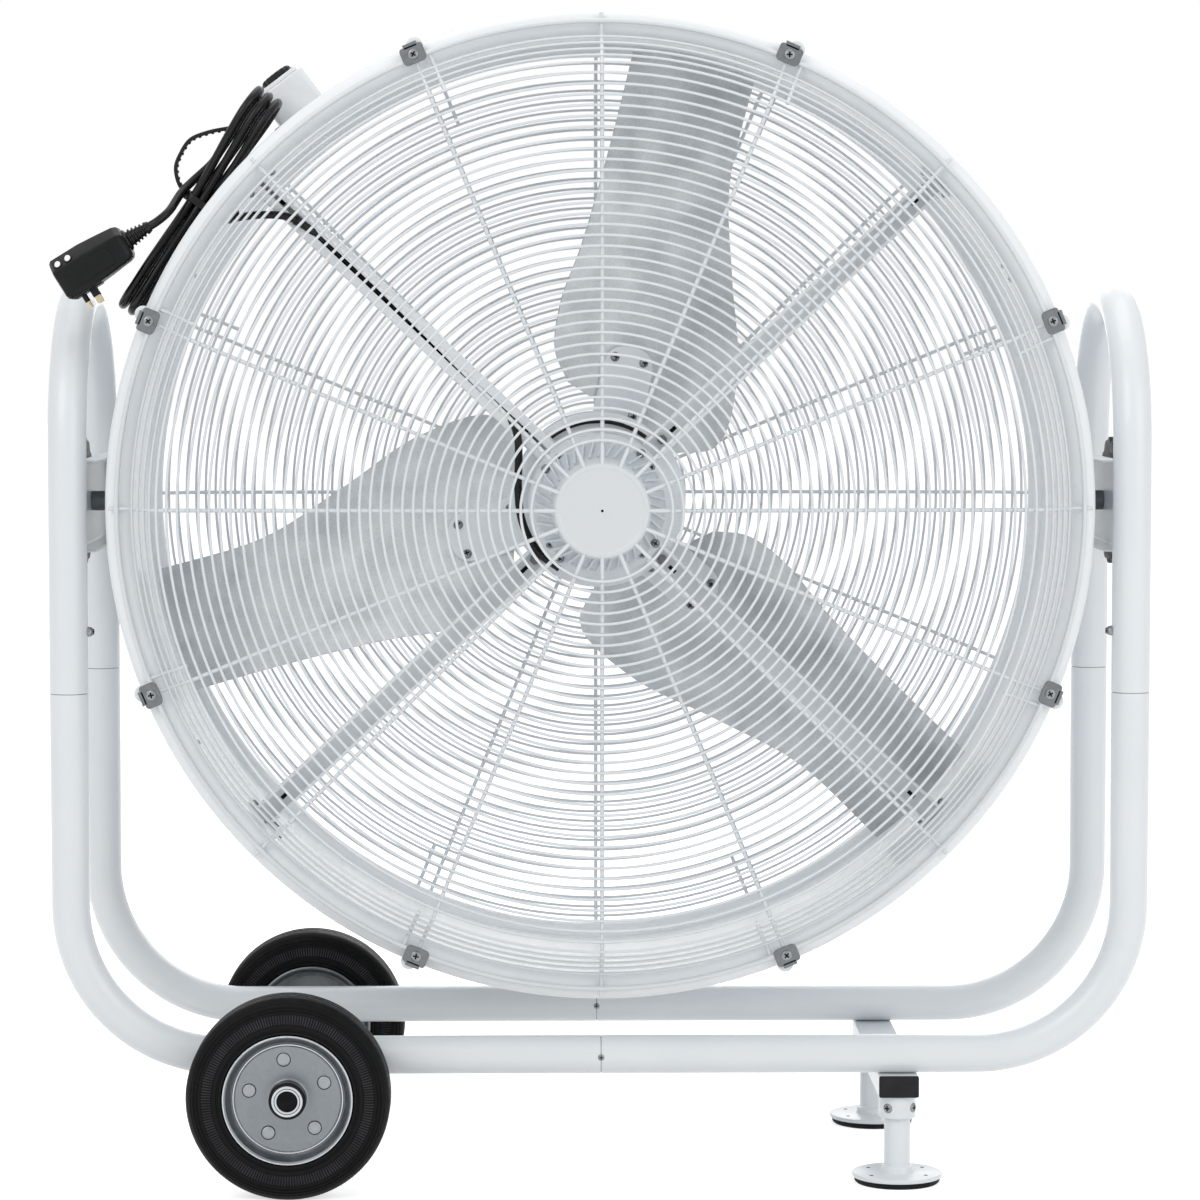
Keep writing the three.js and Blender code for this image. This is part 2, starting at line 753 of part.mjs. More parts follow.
// A round grip with soft ribs, drawn as one outline.
function ribbedOutline(radius, ribs, depth) {
  const corners = [];
  const perRib = 3;
  for (let i = 0; i < ribs * perRib; i += 1) {
    const angle = (i / (ribs * perRib)) * 2 * Math.PI;
    const dip = i % perRib === 0 ? depth : 0;
    corners.push(new THREE.Vector2((radius - dip) * Math.cos(angle), (radius - dip) * Math.sin(angle)));
  }
  return corners;
}

function tiltKnob(side) {
  const shape = new THREE.Shape(ribbedOutline(knobRadius, 16, 4));
  shape.holes.push(new THREE.Path(polygon(studRadius + seat, tubeSides)));
  const start = webOuter + 2;
  const grip = new THREE.ExtrudeGeometry(shape, { depth: knobThickness, bevelEnabled: false });
  grip.rotateY(Math.PI / 2).translate(start, 0, 0);
  const boss = ring(studRadius + seat, 20, webOuter + seat, start + 1, tubeSides).rotateZ(-Math.PI / 2);
  const knob = join(grip, boss);
  return side > 0 ? knob : knob.rotateZ(Math.PI);
}

// ---------- switch box ----------

function roundedRectangle(width, height, radius) {
  const corners = [];
  for (const [turn, x, y] of [[0, 1, 1], [1, -1, 1], [2, -1, -1], [3, 1, -1]]) {
    for (let i = 0; i <= 3; i += 1) {
      const angle = (turn + i / 3) * (Math.PI / 2);
      corners.push(new THREE.Vector2(
        x * (width / 2 - radius) + radius * Math.cos(angle),
        y * (height / 2 - radius) + radius * Math.sin(angle),
      ));
    }
  }
  return corners;
}

function plate(corners, from, to) {
  const settings = { depth: to - from, bevelEnabled: false };
  const solid = new THREE.ExtrudeGeometry(new THREE.Shape(corners), settings);
  return solid.translate(0, boxMiddleY, from);
}

const boxTop = drumOuter + boxHeight;
const lidTop = boxTop + seat + 4.5;

function switchBox() {
  const body = plate(roundedRectangle(boxWidth, boxDepth, 6), drumOuter - 6, boxTop);
  return outsideWall(turned(body, boxAngle));
}

function switchLid() {
  return plate(roundedRectangle(boxWidth - 10, boxDepth - 10, 5), boxTop + seat, lidTop);
}

function speedKnob() {
  return plate(ribbedOutline(17, 14, 1.5), lidTop + seat, lidTop + seat + 8);
}

// ---------- cord ----------

// Along the barrel's side a cord point is (s, y, n): s down and round, y along the axis, n outward.
const glandY = -55;
const glandHeight = drumOuter + 9.8;
const glandTip = 47;

function onHank(s, y, n) {
  return new THREE.Vector3(-s, y, n);
}

function fromBox(round, y, outward) {
  const turn = THREE.MathUtils.degToRad(hankAngle - boxAngle);
  const s = round * Math.cos(turn) - outward * Math.sin(turn);
  const n = outward * Math.cos(turn) + round * Math.sin(turn);
  return onHank(s, y, n);
}

function cordGland() {
  const outline = [[0, boxWidth / 2 + seat], [10, boxWidth / 2 + seat], [10, boxWidth / 2 + 7],
    [8.5, boxWidth / 2 + 7.5], [5.5, glandTip], [0, glandTip]];
  return lathe(outline, 12).rotateZ(Math.PI / 2).translate(0, glandY, glandHeight);
}

const waistS = -15;
const runHalf = 100.75;
const waistSpread = cordRadius + 1.25;
const waistPitch = cordRadius * 2 + 0.5;
const foldRadius = cordRadius * 6;
const foldPitch = cordRadius * 2 + 2.5;
const hankY = -108;
const hankHeight = drumOuter + foldPitch * 1.5 + cordRadius + 0.05;

function waistEase(s) {
  return THREE.MathUtils.smoothstep(Math.abs(s - waistS), 0, runHalf);
}

// side +1 is the rear run, -1 the front run; the loops lie on one another, a level apart.
function hankPoint(s, side, level) {
  const ease = waistEase(s);
  const spread = THREE.MathUtils.lerp(waistSpread, foldRadius, ease);
  const pitch = THREE.MathUtils.lerp(waistPitch, foldPitch, ease);
  return onHank(s, hankY + side * spread, hankHeight + level * pitch);
}

function addRun(points, side, fromS, toS, fromLevel, toLevel, steps) {
  for (let i = 1; i <= steps; i += 1) {
    const share = i / steps;
    const s = THREE.MathUtils.lerp(fromS, toS, share);
    points.push(hankPoint(s, side, THREE.MathUtils.lerp(fromLevel, toLevel, share)));
  }
}

function addFold(points, end, fromSide, level, steps) {
  for (let i = 1; i <= steps; i += 1) {
    const angle = (i / steps) * Math.PI;
    const s = waistS + end * (runHalf + foldRadius * Math.sin(angle));
    const y = hankY + fromSide * foldRadius * Math.cos(angle);
    points.push(onHank(s, y, hankHeight + level * foldPitch));
  }
}

// Three and a half loops, each run in six steps and each fold in six, straight at both ends.
function hankStations() {
  const bottom = waistS + runHalf;
  const top = waistS - runHalf;
  const loops = 3;
  const start = hankPoint(waistS, 1, -loops / 2);
  const points = [start, start.clone().add(onHank(2.1 * cordRadius, 0, 0))];
  addRun(points, 1, waistS + 9, bottom, -loops / 2, -loops / 2, 3);
  for (let loop = 0; loop < loops; loop += 1) {
    const level = loop - loops / 2;
    addFold(points, 1, 1, level, 6);
    addRun(points, -1, bottom, top, level, level + 1, 6);
    addFold(points, -1, -1, level + 1, 6);
    if (loop < loops - 1) addRun(points, 1, top, bottom, level + 1, level + 1, 6);
  }
  addRun(points, 1, top, -55, loops / 2, loops / 2, 2);
  return points;
}

function leastSelfGap(stations, diameter) {
  const samples = new Route(stations).getPoints(stations.length * 8);
  const lengths = [0];
  for (let i = 1; i < samples.length; i += 1) {
    lengths.push(lengths[i - 1] + samples[i].distanceTo(samples[i - 1]));
  }
  let least = Infinity;
  for (let i = 0; i < samples.length; i += 1) {
    for (let j = i + 1; j < samples.length; j += 1) {
      if (lengths[j] - lengths[i] > diameter * 4) {
        least = Math.min(least, samples[i].distanceTo(samples[j]) - diameter);
      }
    }
  }
  return least;
}

const hank = hankStations();
console.log(`least gap between the hank's turns: ${leastSelfGap(hank, cordRadius * 2).toFixed(2)} mm`);

// A stretch leaves its neighbour along the neighbour's own direction, square to its end face.
function stretch(start, startDirection, stops, end, endDirection, steps) {
  const straight = cordRadius * 2;
  const first = start.clone().addScaledVector(startDirection, seat);
  const last = end.clone().addScaledVector(endDirection, -seat);
  const curve = new THREE.CatmullRomCurve3([
    first.clone().addScaledVector(startDirection, straight),
    ...stops,
    last.clone().addScaledVector(endDirection, -straight),
  ], false, "centripetal");
  return [first, ...curve.getSpacedPoints(steps), last];
}

function direction(from, to) {
  return to.clone().sub(from).normalize();
}

const plugCentre = hankToWorld(91.1, -146, hankHeight + 50.6);
const plugTurn = THREE.MathUtils.degToRad(-31.7);
const plugLength = 78;
const reliefLength = 27;

function hankToWorld(s, y, n) {
  const angle = THREE.MathUtils.degToRad(hankAngle);
  const x = n * Math.cos(angle) - s * Math.sin(angle);
  const z = n * Math.sin(angle) + s * Math.cos(angle);
  return new THREE.Vector3(x, y, pivotHeight + z);
}

function fromPlug(along) {
  const angle = THREE.MathUtils.degToRad(hankAngle);
  const x = plugCentre.x + along * Math.cos(plugTurn);
  const z = plugCentre.z - pivotHeight - along * Math.sin(plugTurn);
  const s = z * Math.cos(angle) - x * Math.sin(angle);
  const n = z * Math.sin(angle) + x * Math.cos(angle);
  return onHank(s, plugCentre.y, n);
}

function leadStations() {
  const tip = fromBox(glandTip, glandY, glandHeight);
  const outward = direction(fromBox(glandTip - 10, glandY, glandHeight), tip);
  const stops = [onHank(-70, -62, hankHeight - 14.8), onHank(-51, -79, hankHeight - 13.8),
    onHank(-36, -95, hankHeight - 13.5)];
  return stretch(tip, outward, stops, hank[0], direction(hank[0], hank[1]), 10);
}

function tailStations() {
  const end = hank[hank.length - 1];
  const leaving = direction(hank[hank.length - 2], end);
  const tip = fromPlug(plugLength / 2 + reliefLength);
  const entering = direction(tip, fromPlug(plugLength / 2));
  const stops = [onHank(-27, -107, hankHeight + 19.6), onHank(-13, -118, hankHeight + 20.9),
    onHank(0, -131, hankHeight + 19.2), onHank(9, -140, hankHeight + 18.4)];
  return stretch(end, leaving, stops, tip, entering, 12);
}

function cord(stations, sides) {
  return sweep(polygon(cordRadius, sides), stations);
}

// A strap drawn tight round the waist, its free end standing off in a loop.
function cordTie() {
  const strapWidth = 7.6;
  const strap = 1.3;
  const half = waistSpread + cordRadius + 0.95;
  const low = hankHeight - 1.5 * waistPitch - cordRadius - 0.45;
  const high = hankHeight + waistPitch + cordRadius + 0.7;
  const x = -waistS;
  const band = (side, top, bottom, width) =>
    block(x - width, x + width, hankY - side, hankY + side, bottom, top);
  const outer = band(half + strap, high + strap, low - strap, strapWidth / 2);
  const inner = band(half, high, low, strapWidth);
  const head = block(x - 5, x + 5, hankY + 4, hankY + half, high + strap / 2, high + 7);
  const strapY = hankY + 8;
  const loop = [[x, high + 3], [x + 3, high + 13], [x + 15, high + 27], [x + 29.5, high + 31],
    [x + 46, high + 31], [x + 62, high + 21], [x + 79, high + 5]];
  const places = loop.map(([along, height]) => new THREE.Vector3(along, strapY, height));
  const curve = new THREE.CatmullRomCurve3(places, false, "centripetal");
  const section = rectangle(strap / 2, strapWidth / 2);
  return join(cut(outer, inner), head, sweep(section, curve.getSpacedPoints(14)));
}

// ---------- plug ----------

// In the plug's own frame x points to the cord, y along the barrel, and the prongs point down -z.
function plugBody() {
  const half = plugLength / 2;
  const outline = new THREE.Shape([
    new THREE.Vector2(-half, -19), new THREE.Vector2(-half + 4, -22), new THREE.Vector2(-half + 34, -22),
    new THREE.Vector2(half - 3, -18), new THREE.Vector2(half, -14), new THREE.Vector2(half, 14),
    new THREE.Vector2(half - 3, 18), new THREE.Vector2(-half + 34, 22), new THREE.Vector2(-half + 4, 22),
    new THREE.Vector2(-half, 19),
  ]);
  const settings = { depth: 36, bevelEnabled: true, bevelThickness: 3, bevelSize: 2.4, bevelOffset: -2.4,
    bevelSegments: 1 };
  const body = upright(new THREE.ExtrudeGeometry(outline, settings)).translate(0, 18, 0);
  const pockets = buttonPlaces.map((x) => block(x - 4.3, x + 4.3, -5.3, 5.3, 18, 30));
  const socket = block(-34, -2, -14, 14, -30, -19);
  return cut(body, ...pockets, socket);
}

const buttonPlaces = [-30, -19];

function plugButton(x) {
  return block(x - 4, x + 4, -5, 5, 18 + seat + 1.7, 24.5);
}

// Two flat blades and a round earth pin in one moulded insert.
function plugProngs() {
  const x = -18;
  const insert = block(-34 + seat, -2 - seat, -14 + seat, 14 - seat, -22, -19 - seat);
  const blades = [-6.35, 6.35].map((y) => block(x + 0.8, x + 7.2, y - 0.75, y + 0.75, -38, -21));
  const pin = upright(cylinder(2.4, -38, -21, 12)).translate(x - 7, 0, 0);
  return join(insert, ...blades, pin);
}

function strainRelief() {
  const start = plugLength / 2 + seat;
  const end = plugLength / 2 + reliefLength;
  const outline = [[0, start], [9, start]];
  const ribs = 3;
  for (let i = 0; i < ribs; i += 1) {
    const y = start + 4 + (i * (reliefLength - 7)) / ribs;
    const radius = 8.6 - i;
    outline.push([radius, y], [radius - 1.4, y + 0.8], [radius - 1.4, y + 2.6], [radius, y + 3.4]);
  }
  outline.push([5.5, end], [0, end]);
  return lathe(outline, 10).rotateZ(-Math.PI / 2);
}

// ---------- the whole fan ----------

function buildDrum() {
  const drum = new THREE.Group();
  drum.position.z = pivotHeight;
  drum.add(named("drum_shell", drumShell(), "whitePaint"));
  drum.add(named("front_guard", guard(-1, drumEnd + frontGuardReach, 14, ringCount), "whitePaint"));
  drum.add(named("rear_guard", guard(1, drumEnd + rearGuardReach, 12, rearRingCount), "whitePaint"));
  drum.add(named("motor_housing", motorHousing(), "whitePaint"));
  drum.add(named("motor_front_bell", motorFrontBell(), "whitePaint"));
  const strutNames = ["upper_right", "upper_left", "lower_left", "lower_right"];
  strutAngles.forEach((angle, index) => {
    drum.add(named(`motor_strut_${strutNames[index]}`, motorStrut(angle), "whitePaint"));
  });
  drum.add(named("motor_cable", motorCable(), "blackPlastic"));
  drum.add(named("pivot_stud_left", pivotStud(-1), "zinc"));
  drum.add(named("pivot_stud_right", pivotStud(1), "zinc"));
  drum.add(named("tilt_knob_left", tiltKnob(-1), "blackPlastic"));
  drum.add(named("tilt_knob_right", tiltKnob(1), "blackPlastic"));
  drum.add(named("switch_box", switchBox(), "whitePlastic"));
  return drum;
}

const strutAngles = [43.3, 136.7, 223.3, 316.7];

function buildClips() {
  const clips = new THREE.Group();
  for (let i = 0; i < clipCount; i += 1) {
    clips.add(onBarrel(spokeAngle(i), named(`guard_clip_${i + 1}`, guardClip(), "zinc")));
  }
  return clips;
}

function buildRotor() {
  const rotor = new THREE.Group();
  rotor.position.z = pivotHeight;
  rotor.add(named("motor_shaft", motorShaft(), "zinc"));
  rotor.add(named("hub_spider", hubSpider(), "whitePaint"));
  bladeAngles.forEach((angle, index) => {
    rotor.add(named(`fan_blade_${index + 1}`, blade(angle), "bladeMetal"));
  });
  return rotor;
}

function buildSwitch() {
  return onBarrel(
    boxAngle,
    named("switch_lid", switchLid(), "whitePlastic"),
    named("speed_knob", speedKnob(), "blackPlastic"),
    named("cord_gland", cordGland(), "blackPlastic"),
  );
}

function buildCord() {
  return onBarrel(
    hankAngle,
    named("cord_lead", cord(leadStations(), cordSides), "rubber"),
    named("cord_hank", cord(hank, 6), "rubber"),
    named("cord_tail", cord(tailStations(), cordSides), "rubber"),
    named("cord_tie", cordTie(), "blackPlastic"),
  );
}

function buildPlug() {
  const plug = new THREE.Group();
  plug.position.copy(plugCentre);
  plug.rotation.y = plugTurn;
  plug.add(named("plug_body", plugBody(), "blackPlastic"));
  plug.add(named("plug_prongs", plugProngs(), "brass"));
  plug.add(named("plug_relief", strainRelief(), "rubber"));
  plug.add(named("test_button", plugButton(buttonPlaces[0]), "whitePlastic"));
  plug.add(named("reset_button", plugButton(buttonPlaces[1]), "whitePlastic"));
  return plug;
}

const fan = new THREE.Group();
fan.name = "drum_fan";
fan.add(buildStand(), buildWheels(), buildFeet(), buildDrum(), buildClips(), buildRotor());
fan.add(buildSwitch(), buildCord(), buildPlug());

export default fan;
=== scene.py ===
import math
import bmesh
import bpy
from mathutils import Matrix, Vector


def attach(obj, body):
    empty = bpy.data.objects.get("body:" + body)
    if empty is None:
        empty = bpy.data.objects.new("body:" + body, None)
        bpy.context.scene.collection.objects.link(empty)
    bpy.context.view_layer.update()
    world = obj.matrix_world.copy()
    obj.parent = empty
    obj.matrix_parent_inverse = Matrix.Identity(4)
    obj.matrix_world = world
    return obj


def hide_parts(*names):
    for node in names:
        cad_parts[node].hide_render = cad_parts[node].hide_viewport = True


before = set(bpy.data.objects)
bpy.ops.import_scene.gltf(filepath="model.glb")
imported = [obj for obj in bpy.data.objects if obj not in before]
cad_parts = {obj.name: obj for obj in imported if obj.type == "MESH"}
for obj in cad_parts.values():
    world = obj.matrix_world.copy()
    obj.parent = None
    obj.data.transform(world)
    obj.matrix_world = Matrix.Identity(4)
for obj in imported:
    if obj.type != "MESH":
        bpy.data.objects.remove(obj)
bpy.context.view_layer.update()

mm = 0.001  # every size below is in millimetres, on the same axes as the frame
turn = 2 * math.pi

# what several pieces share
barrel = {
    "pivotHeight": 675,
    "radius": 474,        # inside of the wall
    "sheet": 1.2,
    "halfDepth": 165,
    "beadRadius": 13,
    "guardFlange": 183.945,
}
stand = {
    "legX": 525.5,
    "tubeY": 150,
    "tubeRadius": 19,
    "bendRadius": 150,
    "bottomZ": 129.3,
    "seamZ": 491,
    "springline": 731,
    "seamGap": 0.6,
}

tubeRows = (-stand["tubeY"], stand["tubeY"])   # front and rear
frontAndRear = (("front", -1), ("rear", 1))
leftAndRight = (("left", -1), ("right", 1))

# A shape is a pair: its points and its faces.


def joined(*shapes):
    points, faces = [], []
    for shapePoints, shapeFaces in shapes:
        start = len(points)
        points += shapePoints
        faces += [[start + corner for corner in face] for face in shapeFaces]
    return points, faces


def moved(shape, matrix):
    return [matrix @ Vector(point) for point in shape[0]], shape[1]


def at(x, y, z):
    return Matrix.Translation((x, y, z))


def spun(degrees, axis):
    return Matrix.Rotation(math.radians(degrees), 4, axis)


middleOfBarrel = at(0, 0, barrel["pivotHeight"])


# z outward from the barrel's axis at that angle, x clockwise seen from the front, y along the axis
def aroundBarrel(degrees):
    return middleOfBarrel @ spun(90 - degrees, "Y")


# the faces between rings of as many points each; rings that don't close on themselves get two end faces
def stitched(rings, size, closed=False):
    faces = []
    for i in range(rings if closed else rings - 1):
        after = (i + 1) % rings
        for j in range(size):
            k = (j + 1) % size
            faces.append([i * size + j, i * size + k, after * size + k, after * size + j])
    if not closed:
        faces += [list(range(size))[::-1], list(range((rings - 1) * size, rings * size))]
    return faces


# a section of (radius, along) corners turned round the y axis
def lathed(outline, steps):
    points = []
    for step in range(steps):
        angle = step / steps * turn
        points += [Vector((radius * math.cos(angle), along, radius * math.sin(angle)))
                   for radius, along in outline]
    return points, stitched(steps, len(outline), closed=True)


# a closed outline with its corners rounded; one radius for all, or one for each
def rounded(corners, radius, steps=4):
    result = []
    count = len(corners)
    for i, corner in enumerate(corners):
        here = Vector(corner)
        size = radius[i] if isinstance(radius, (list, tuple)) else radius
        before = Vector(corners[i - 1]) - here
        after = Vector(corners[(i + 1) % count]) - here
        if size <= 0 or before.length < 1e-6 or after.length < 1e-6:
            result.append(tuple(here))
            continue
        half = before.angle(after) / 2
        if half > 1.55:
            result.append(tuple(here))
            continue
        reach = min(size / math.tan(half), before.length * 0.48, after.length * 0.48)
        first = here + before.normalized() * reach
        last = here + after.normalized() * reach
        for step in range(steps + 1):
            t = step / steps
            result.append(tuple(first.lerp(here, t).lerp(here.lerp(last, t), t)))
    return result


# a rectangle with its corners rounded
def rounded4(left, right, low, high, radius, steps=4):
    return rounded([(left, low), (right, low), (right, high), (left, high)], radius, steps)


def circle(radius, sides, start=0.0):
    angles = [start + i / sides * turn for i in range(sides)]
    return [(radius * math.cos(angle), radius * math.sin(angle)) for angle in angles]


# a circle squashed to an oval
def oval(wide, long, sides=28):
    return [(across * wide, along * long) for across, along in circle(1, sides)]


# a flat outline in x and y raised from low to high along z
def prism(outline, low, high):
    points = [Vector((x, y, z)) for z in (low, high) for x, y in outline]
    return points, stitched(2, len(outline))


# a flat ring between two outlines of as many points
def frameRing(outer, inner, low, high):
    loops = ((outer, low), (outer, high), (inner, high), (inner, low))
    points = [Vector((x, y, z)) for outline, z in loops for x, y in outline]
    return points, stitched(len(loops), len(outer), closed=True)


# a section carried along a path without twist; the section's first axis starts nearest upHint
def swept(path, section, closed=False, upHint=None):
    path = [Vector(point) for point in path]
    count = len(path)
    tangents = []
    for i in range(count):
        before = path[i - 1] if i or closed else path[0]
        after = path[(i + 1) % count] if i < count - 1 or closed else path[-1]
        tangents.append((after - before).normalized())
    hint = Vector(upHint) if upHint else tangents[0].orthogonal()
    side = (hint - tangents[0] * hint.dot(tangents[0])).normalized()
    points = []
    for i in range(count):
        if i:
            side = (side - tangents[i] * side.dot(tangents[i])).normalized()
        other = tangents[i].cross(side)
        points += [path[i] + side * x + other * y for x, y in section]
    return points, stitched(count, len(section), closed)


def box(x0, x1, y0, y1, z0, z1):
    return prism([(x0, y0), (x1, y0), (x1, y1), (x0, y1)], z0, z1)


# points round a bend from the direction first to the direction second
def bent(centre, first, second, radius, steps, span=math.pi / 2):
    angles = [i / steps * span for i in range(steps + 1)]
    return [Vector(centre) + (Vector(first) * math.cos(angle) + Vector(second) * math.sin(angle)) * radius
            for angle in angles]


# a smooth line through points, resampled at an even spacing
def curveThrough(points, spacing):
    points = [Vector(point) for point in points]
    ends = [points[0] * 2 - points[1]] + points + [points[-1] * 2 - points[-2]]
    fine = []
    for i in range(1, len(ends) - 2):
        a, b, c, d = ends[i - 1:i + 3]
        times = [0.0]
        for start, end in ((a, b), (b, c), (c, d)):
            times.append(times[-1] + max((end - start).length, 1e-6) ** 0.5)
        t0, t1, t2, t3 = times
        steps = max(2, int((c - b).length / 1.5))
        for step in range(steps):
            t = t1 + (t2 - t1) * step / steps
            ab = a * ((t1 - t) / (t1 - t0)) + b * ((t - t0) / (t1 - t0))
            bc = b * ((t2 - t) / (t2 - t1)) + c * ((t - t1) / (t2 - t1))
            cd = c * ((t3 - t) / (t3 - t2)) + d * ((t - t2) / (t3 - t2))
            abc = ab * ((t2 - t) / (t2 - t0)) + bc * ((t - t0) / (t2 - t0))
            bcd = bc * ((t3 - t) / (t3 - t1)) + cd * ((t - t1) / (t3 - t1))
            fine.append(abc * ((t2 - t) / (t2 - t1)) + bcd * ((t - t1) / (t2 - t1)))
    return evenly(fine + [points[-1]], spacing)


def evenly(fine, spacing):
    lengths = [0.0]
    for before, after in zip(fine, fine[1:]):
        lengths.append(lengths[-1] + (after - before).length)
    count = max(2, round(lengths[-1] / spacing))
    result, place = [], 0
    for i in range(count + 1):
        wanted = lengths[-1] * i / count
        while place < len(lengths) - 2 and lengths[place + 1] < wanted:
            place += 1
        span = lengths[place + 1] - lengths[place]
        share = (wanted - lengths[place]) / span if span > 1e-9 else 0
        result.append(fine[place].lerp(fine[place + 1], share))
    return result


def lineLength(points):
    return sum((after - before).length for before, after in zip(points, points[1:]))


# makes the piece, rounds its edges and puts it on its body
def piece(name, shape, material, body, replaces=(), slot=None, bevel=0.0, sharp=32, bevelSteps=2,
          weld=0.004):
    mesh = bpy.data.meshes.new(name)
    mesh.from_pydata([Vector(point) * mm for point in shape[0]], [], shape[1])
    work = bmesh.new()
    work.from_mesh(mesh)
    bmesh.ops.remove_doubles(work, verts=work.verts, dist=weld * mm)
    bmesh.ops.dissolve_degenerate(work, edges=work.edges, dist=1e-6)
    bmesh.ops.recalc_face_normals(work, faces=work.faces)
    work.to_mesh(mesh)
    work.free()
    mesh.polygons.foreach_set("use_smooth", [True] * len(mesh.polygons))
    mesh.set_sharp_from_angle(angle=math.radians(sharp))
    mesh.materials.append(material)
    made = bpy.data.objects.new(name, mesh)
    bpy.context.scene.collection.objects.link(made)
    if bevel:
        edge = made.modifiers.new("edges", "BEVEL")
        edge.width = bevel * mm
        edge.segments = bevelSteps
        edge.limit_method = "ANGLE"
        edge.angle_limit = math.radians(sharp)
        edge.harden_normals = True
    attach(made, body)
    if replaces:
        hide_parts(*replaces)
    return made


# the photograph's place and angle
cameraPlace = {
    "at": (-0.063, -4.105, 0.856),
    "pitch": 86.05,   # 3.95 degrees down
    "yaw": -0.9,
    "lens": 120.3,
}
cameraData = bpy.data.cameras.new("camera")
cameraData.lens = cameraPlace["lens"]
cameraData.sensor_width = 36
camera = bpy.data.objects.new("camera", cameraData)
camera.location = cameraPlace["at"]
camera.rotation_euler = (math.radians(cameraPlace["pitch"]), 0, math.radians(cameraPlace["yaw"]))
bpy.context.scene.collection.objects.link(camera)
bpy.context.scene.camera = camera
print("camera placed")


# sRGB hex to the linear colour that a shader takes
def paint(hexColour):
    channels = [int(hexColour[i:i + 2], 16) / 255 for i in (1, 3, 5)]
    return [c / 12.92 if c <= 0.04045 else ((c + 0.055) / 1.055) ** 2.4 for c in channels] + [1.0]


# One node, with settings and its inputs set to values or linked to sockets; n3 means the input at place 3.
def addNode(material, kind, settings=None, **inputs):
    node = material.node_tree.nodes.new(kind)
    for key, value in (settings or {}).items():
        setattr(node, key, value)
    for key, value in inputs.items():
        byPlace = key[0] == "n" and key[1:].isdigit()
        socket = node.inputs[int(key[1:])] if byPlace else node.inputs[key.replace("_", " ")]
        if isinstance(value, bpy.types.NodeSocket):
            material.node_tree.links.new(value, socket)
        else:
            socket.default_value = value
    return node


def newMaterial(name):
    material = bpy.data.materials.new(name)
    material.use_nodes = True
    material.node_tree.nodes.clear()
    return material


# ends a material: its tone, gloss and fine relief go into the surface
def surfaced(material, tone, gloss, relief, depth, **settings):
    bump = addNode(material, "ShaderNodeBump", Height=relief, Distance=depth * mm, Strength=1.0)
    shader = addNode(material, "ShaderNodeBsdfPrincipled", Base_Color=tone.outputs[2],
                     Roughness=gloss.outputs[0], Normal=bump.outputs[0], **settings)
    addNode(material, "ShaderNodeOutputMaterial", Surface=shader.outputs[0])
    return material


# Polyester powder baked on steel: a satin pale grey-white, softly dimpled where the powder flowed together.
powder = {
    "roughness": 0.34,
    "dimple": 2.2,    # real dimples are nearer 1 mm; drawn twice as coarse to show
    "cloud": 90,
}


def powderCoat(name, colour, shade, roughness):
    material = newMaterial(name)
    spot = addNode(material, "ShaderNodeTexCoord").outputs["Object"]
    cloud = addNode(material, "ShaderNodeTexNoise", Vector=spot, Scale=1000 / powder["cloud"],
                    Detail=3.0).outputs[0]
    dimple = addNode(material, "ShaderNodeTexNoise", Vector=spot, Scale=1000 / powder["dimple"],
                     Detail=2.0).outputs[0]
    patch = addNode(material, "ShaderNodeTexNoise", Vector=spot, Scale=1000 / 14, Detail=3.0).outputs[0]
    gloss = addNode(material, "ShaderNodeMapRange", n0=patch, n1=0.3, n2=0.7, n3=roughness - 0.05,
                    n4=roughness + 0.06)
    tone = addNode(material, "ShaderNodeMix", {"data_type": "RGBA"}, n0=cloud, n6=paint(shade),
                   n7=paint(colour))
    return surfaced(material, tone, gloss, dimple, 0.02, Coat_Weight=0.25, Coat_Roughness=0.18)


powderWhite = powderCoat("steel, polyester powder coat, baked white", "#E4E8EB", "#DCE1E5",
                         powder["roughness"])
powderWire = powderCoat("steel wire, polyester powder coat, baked", "#DFE3E6", "#D5DADE", 0.36)
# a greyer copy of the white powder coat: painted shade on the guards' flat middle discs
powderDiscShaded = powderCoat("steel sheet, powder coat, flat disc", "#D6DADD", "#CFD4D7", 0.42)
# a lighter copy of the white powder coat: painted light, so the barrel's inside and the motor's channels
# stay pale in their own shade
powderPaintedLight = powderCoat("steel sheet, powder coat, baked, inside the barrel", "#F1F4F6", "#E9EDF0", 0.42)

# Zinc-plated steel: cool grey with a faint cloudy spangle, and a fine tooth left by the press or the
# tumbling barrel.
zinc = {
    "colour": "#888C90",
    "dark": "#757A7E",
    "roughness": 0.36,
    "spangle": 7,
}


def platedMetal(name, colour, dark, roughness, spangle):
    material = newMaterial(name)
    spot = addNode(material, "ShaderNodeTexCoord").outputs["Object"]
    crystal = addNode(material, "ShaderNodeTexVoronoi", Vector=spot, Scale=1000 / spangle).outputs["Color"]
    facet = addNode(material, "ShaderNodeSeparateColor", Color=crystal).outputs[0]
    fine = addNode(material, "ShaderNodeTexNoise", Vector=spot, Scale=1000 / 3, Detail=3.0).outputs[0]
    blend = addNode(material, "ShaderNodeMix", n0=0.35, n2=fine, n3=facet).outputs[0]
    tone = addNode(material, "ShaderNodeMix", {"data_type": "RGBA"}, n0=blend, n6=paint(dark),
                   n7=paint(colour))
    gloss = addNode(material, "ShaderNodeMapRange", n0=blend, n1=0.2, n2=0.8, n3=roughness - 0.06,
                    n4=roughness + 0.1)
    tooth = addNode(material, "ShaderNodeTexNoise", Vector=spot, Scale=1000 / 0.8, Detail=2.0).outputs[0]
    return surfaced(material, tone, gloss, tooth, 0.01, Metallic=1.0)


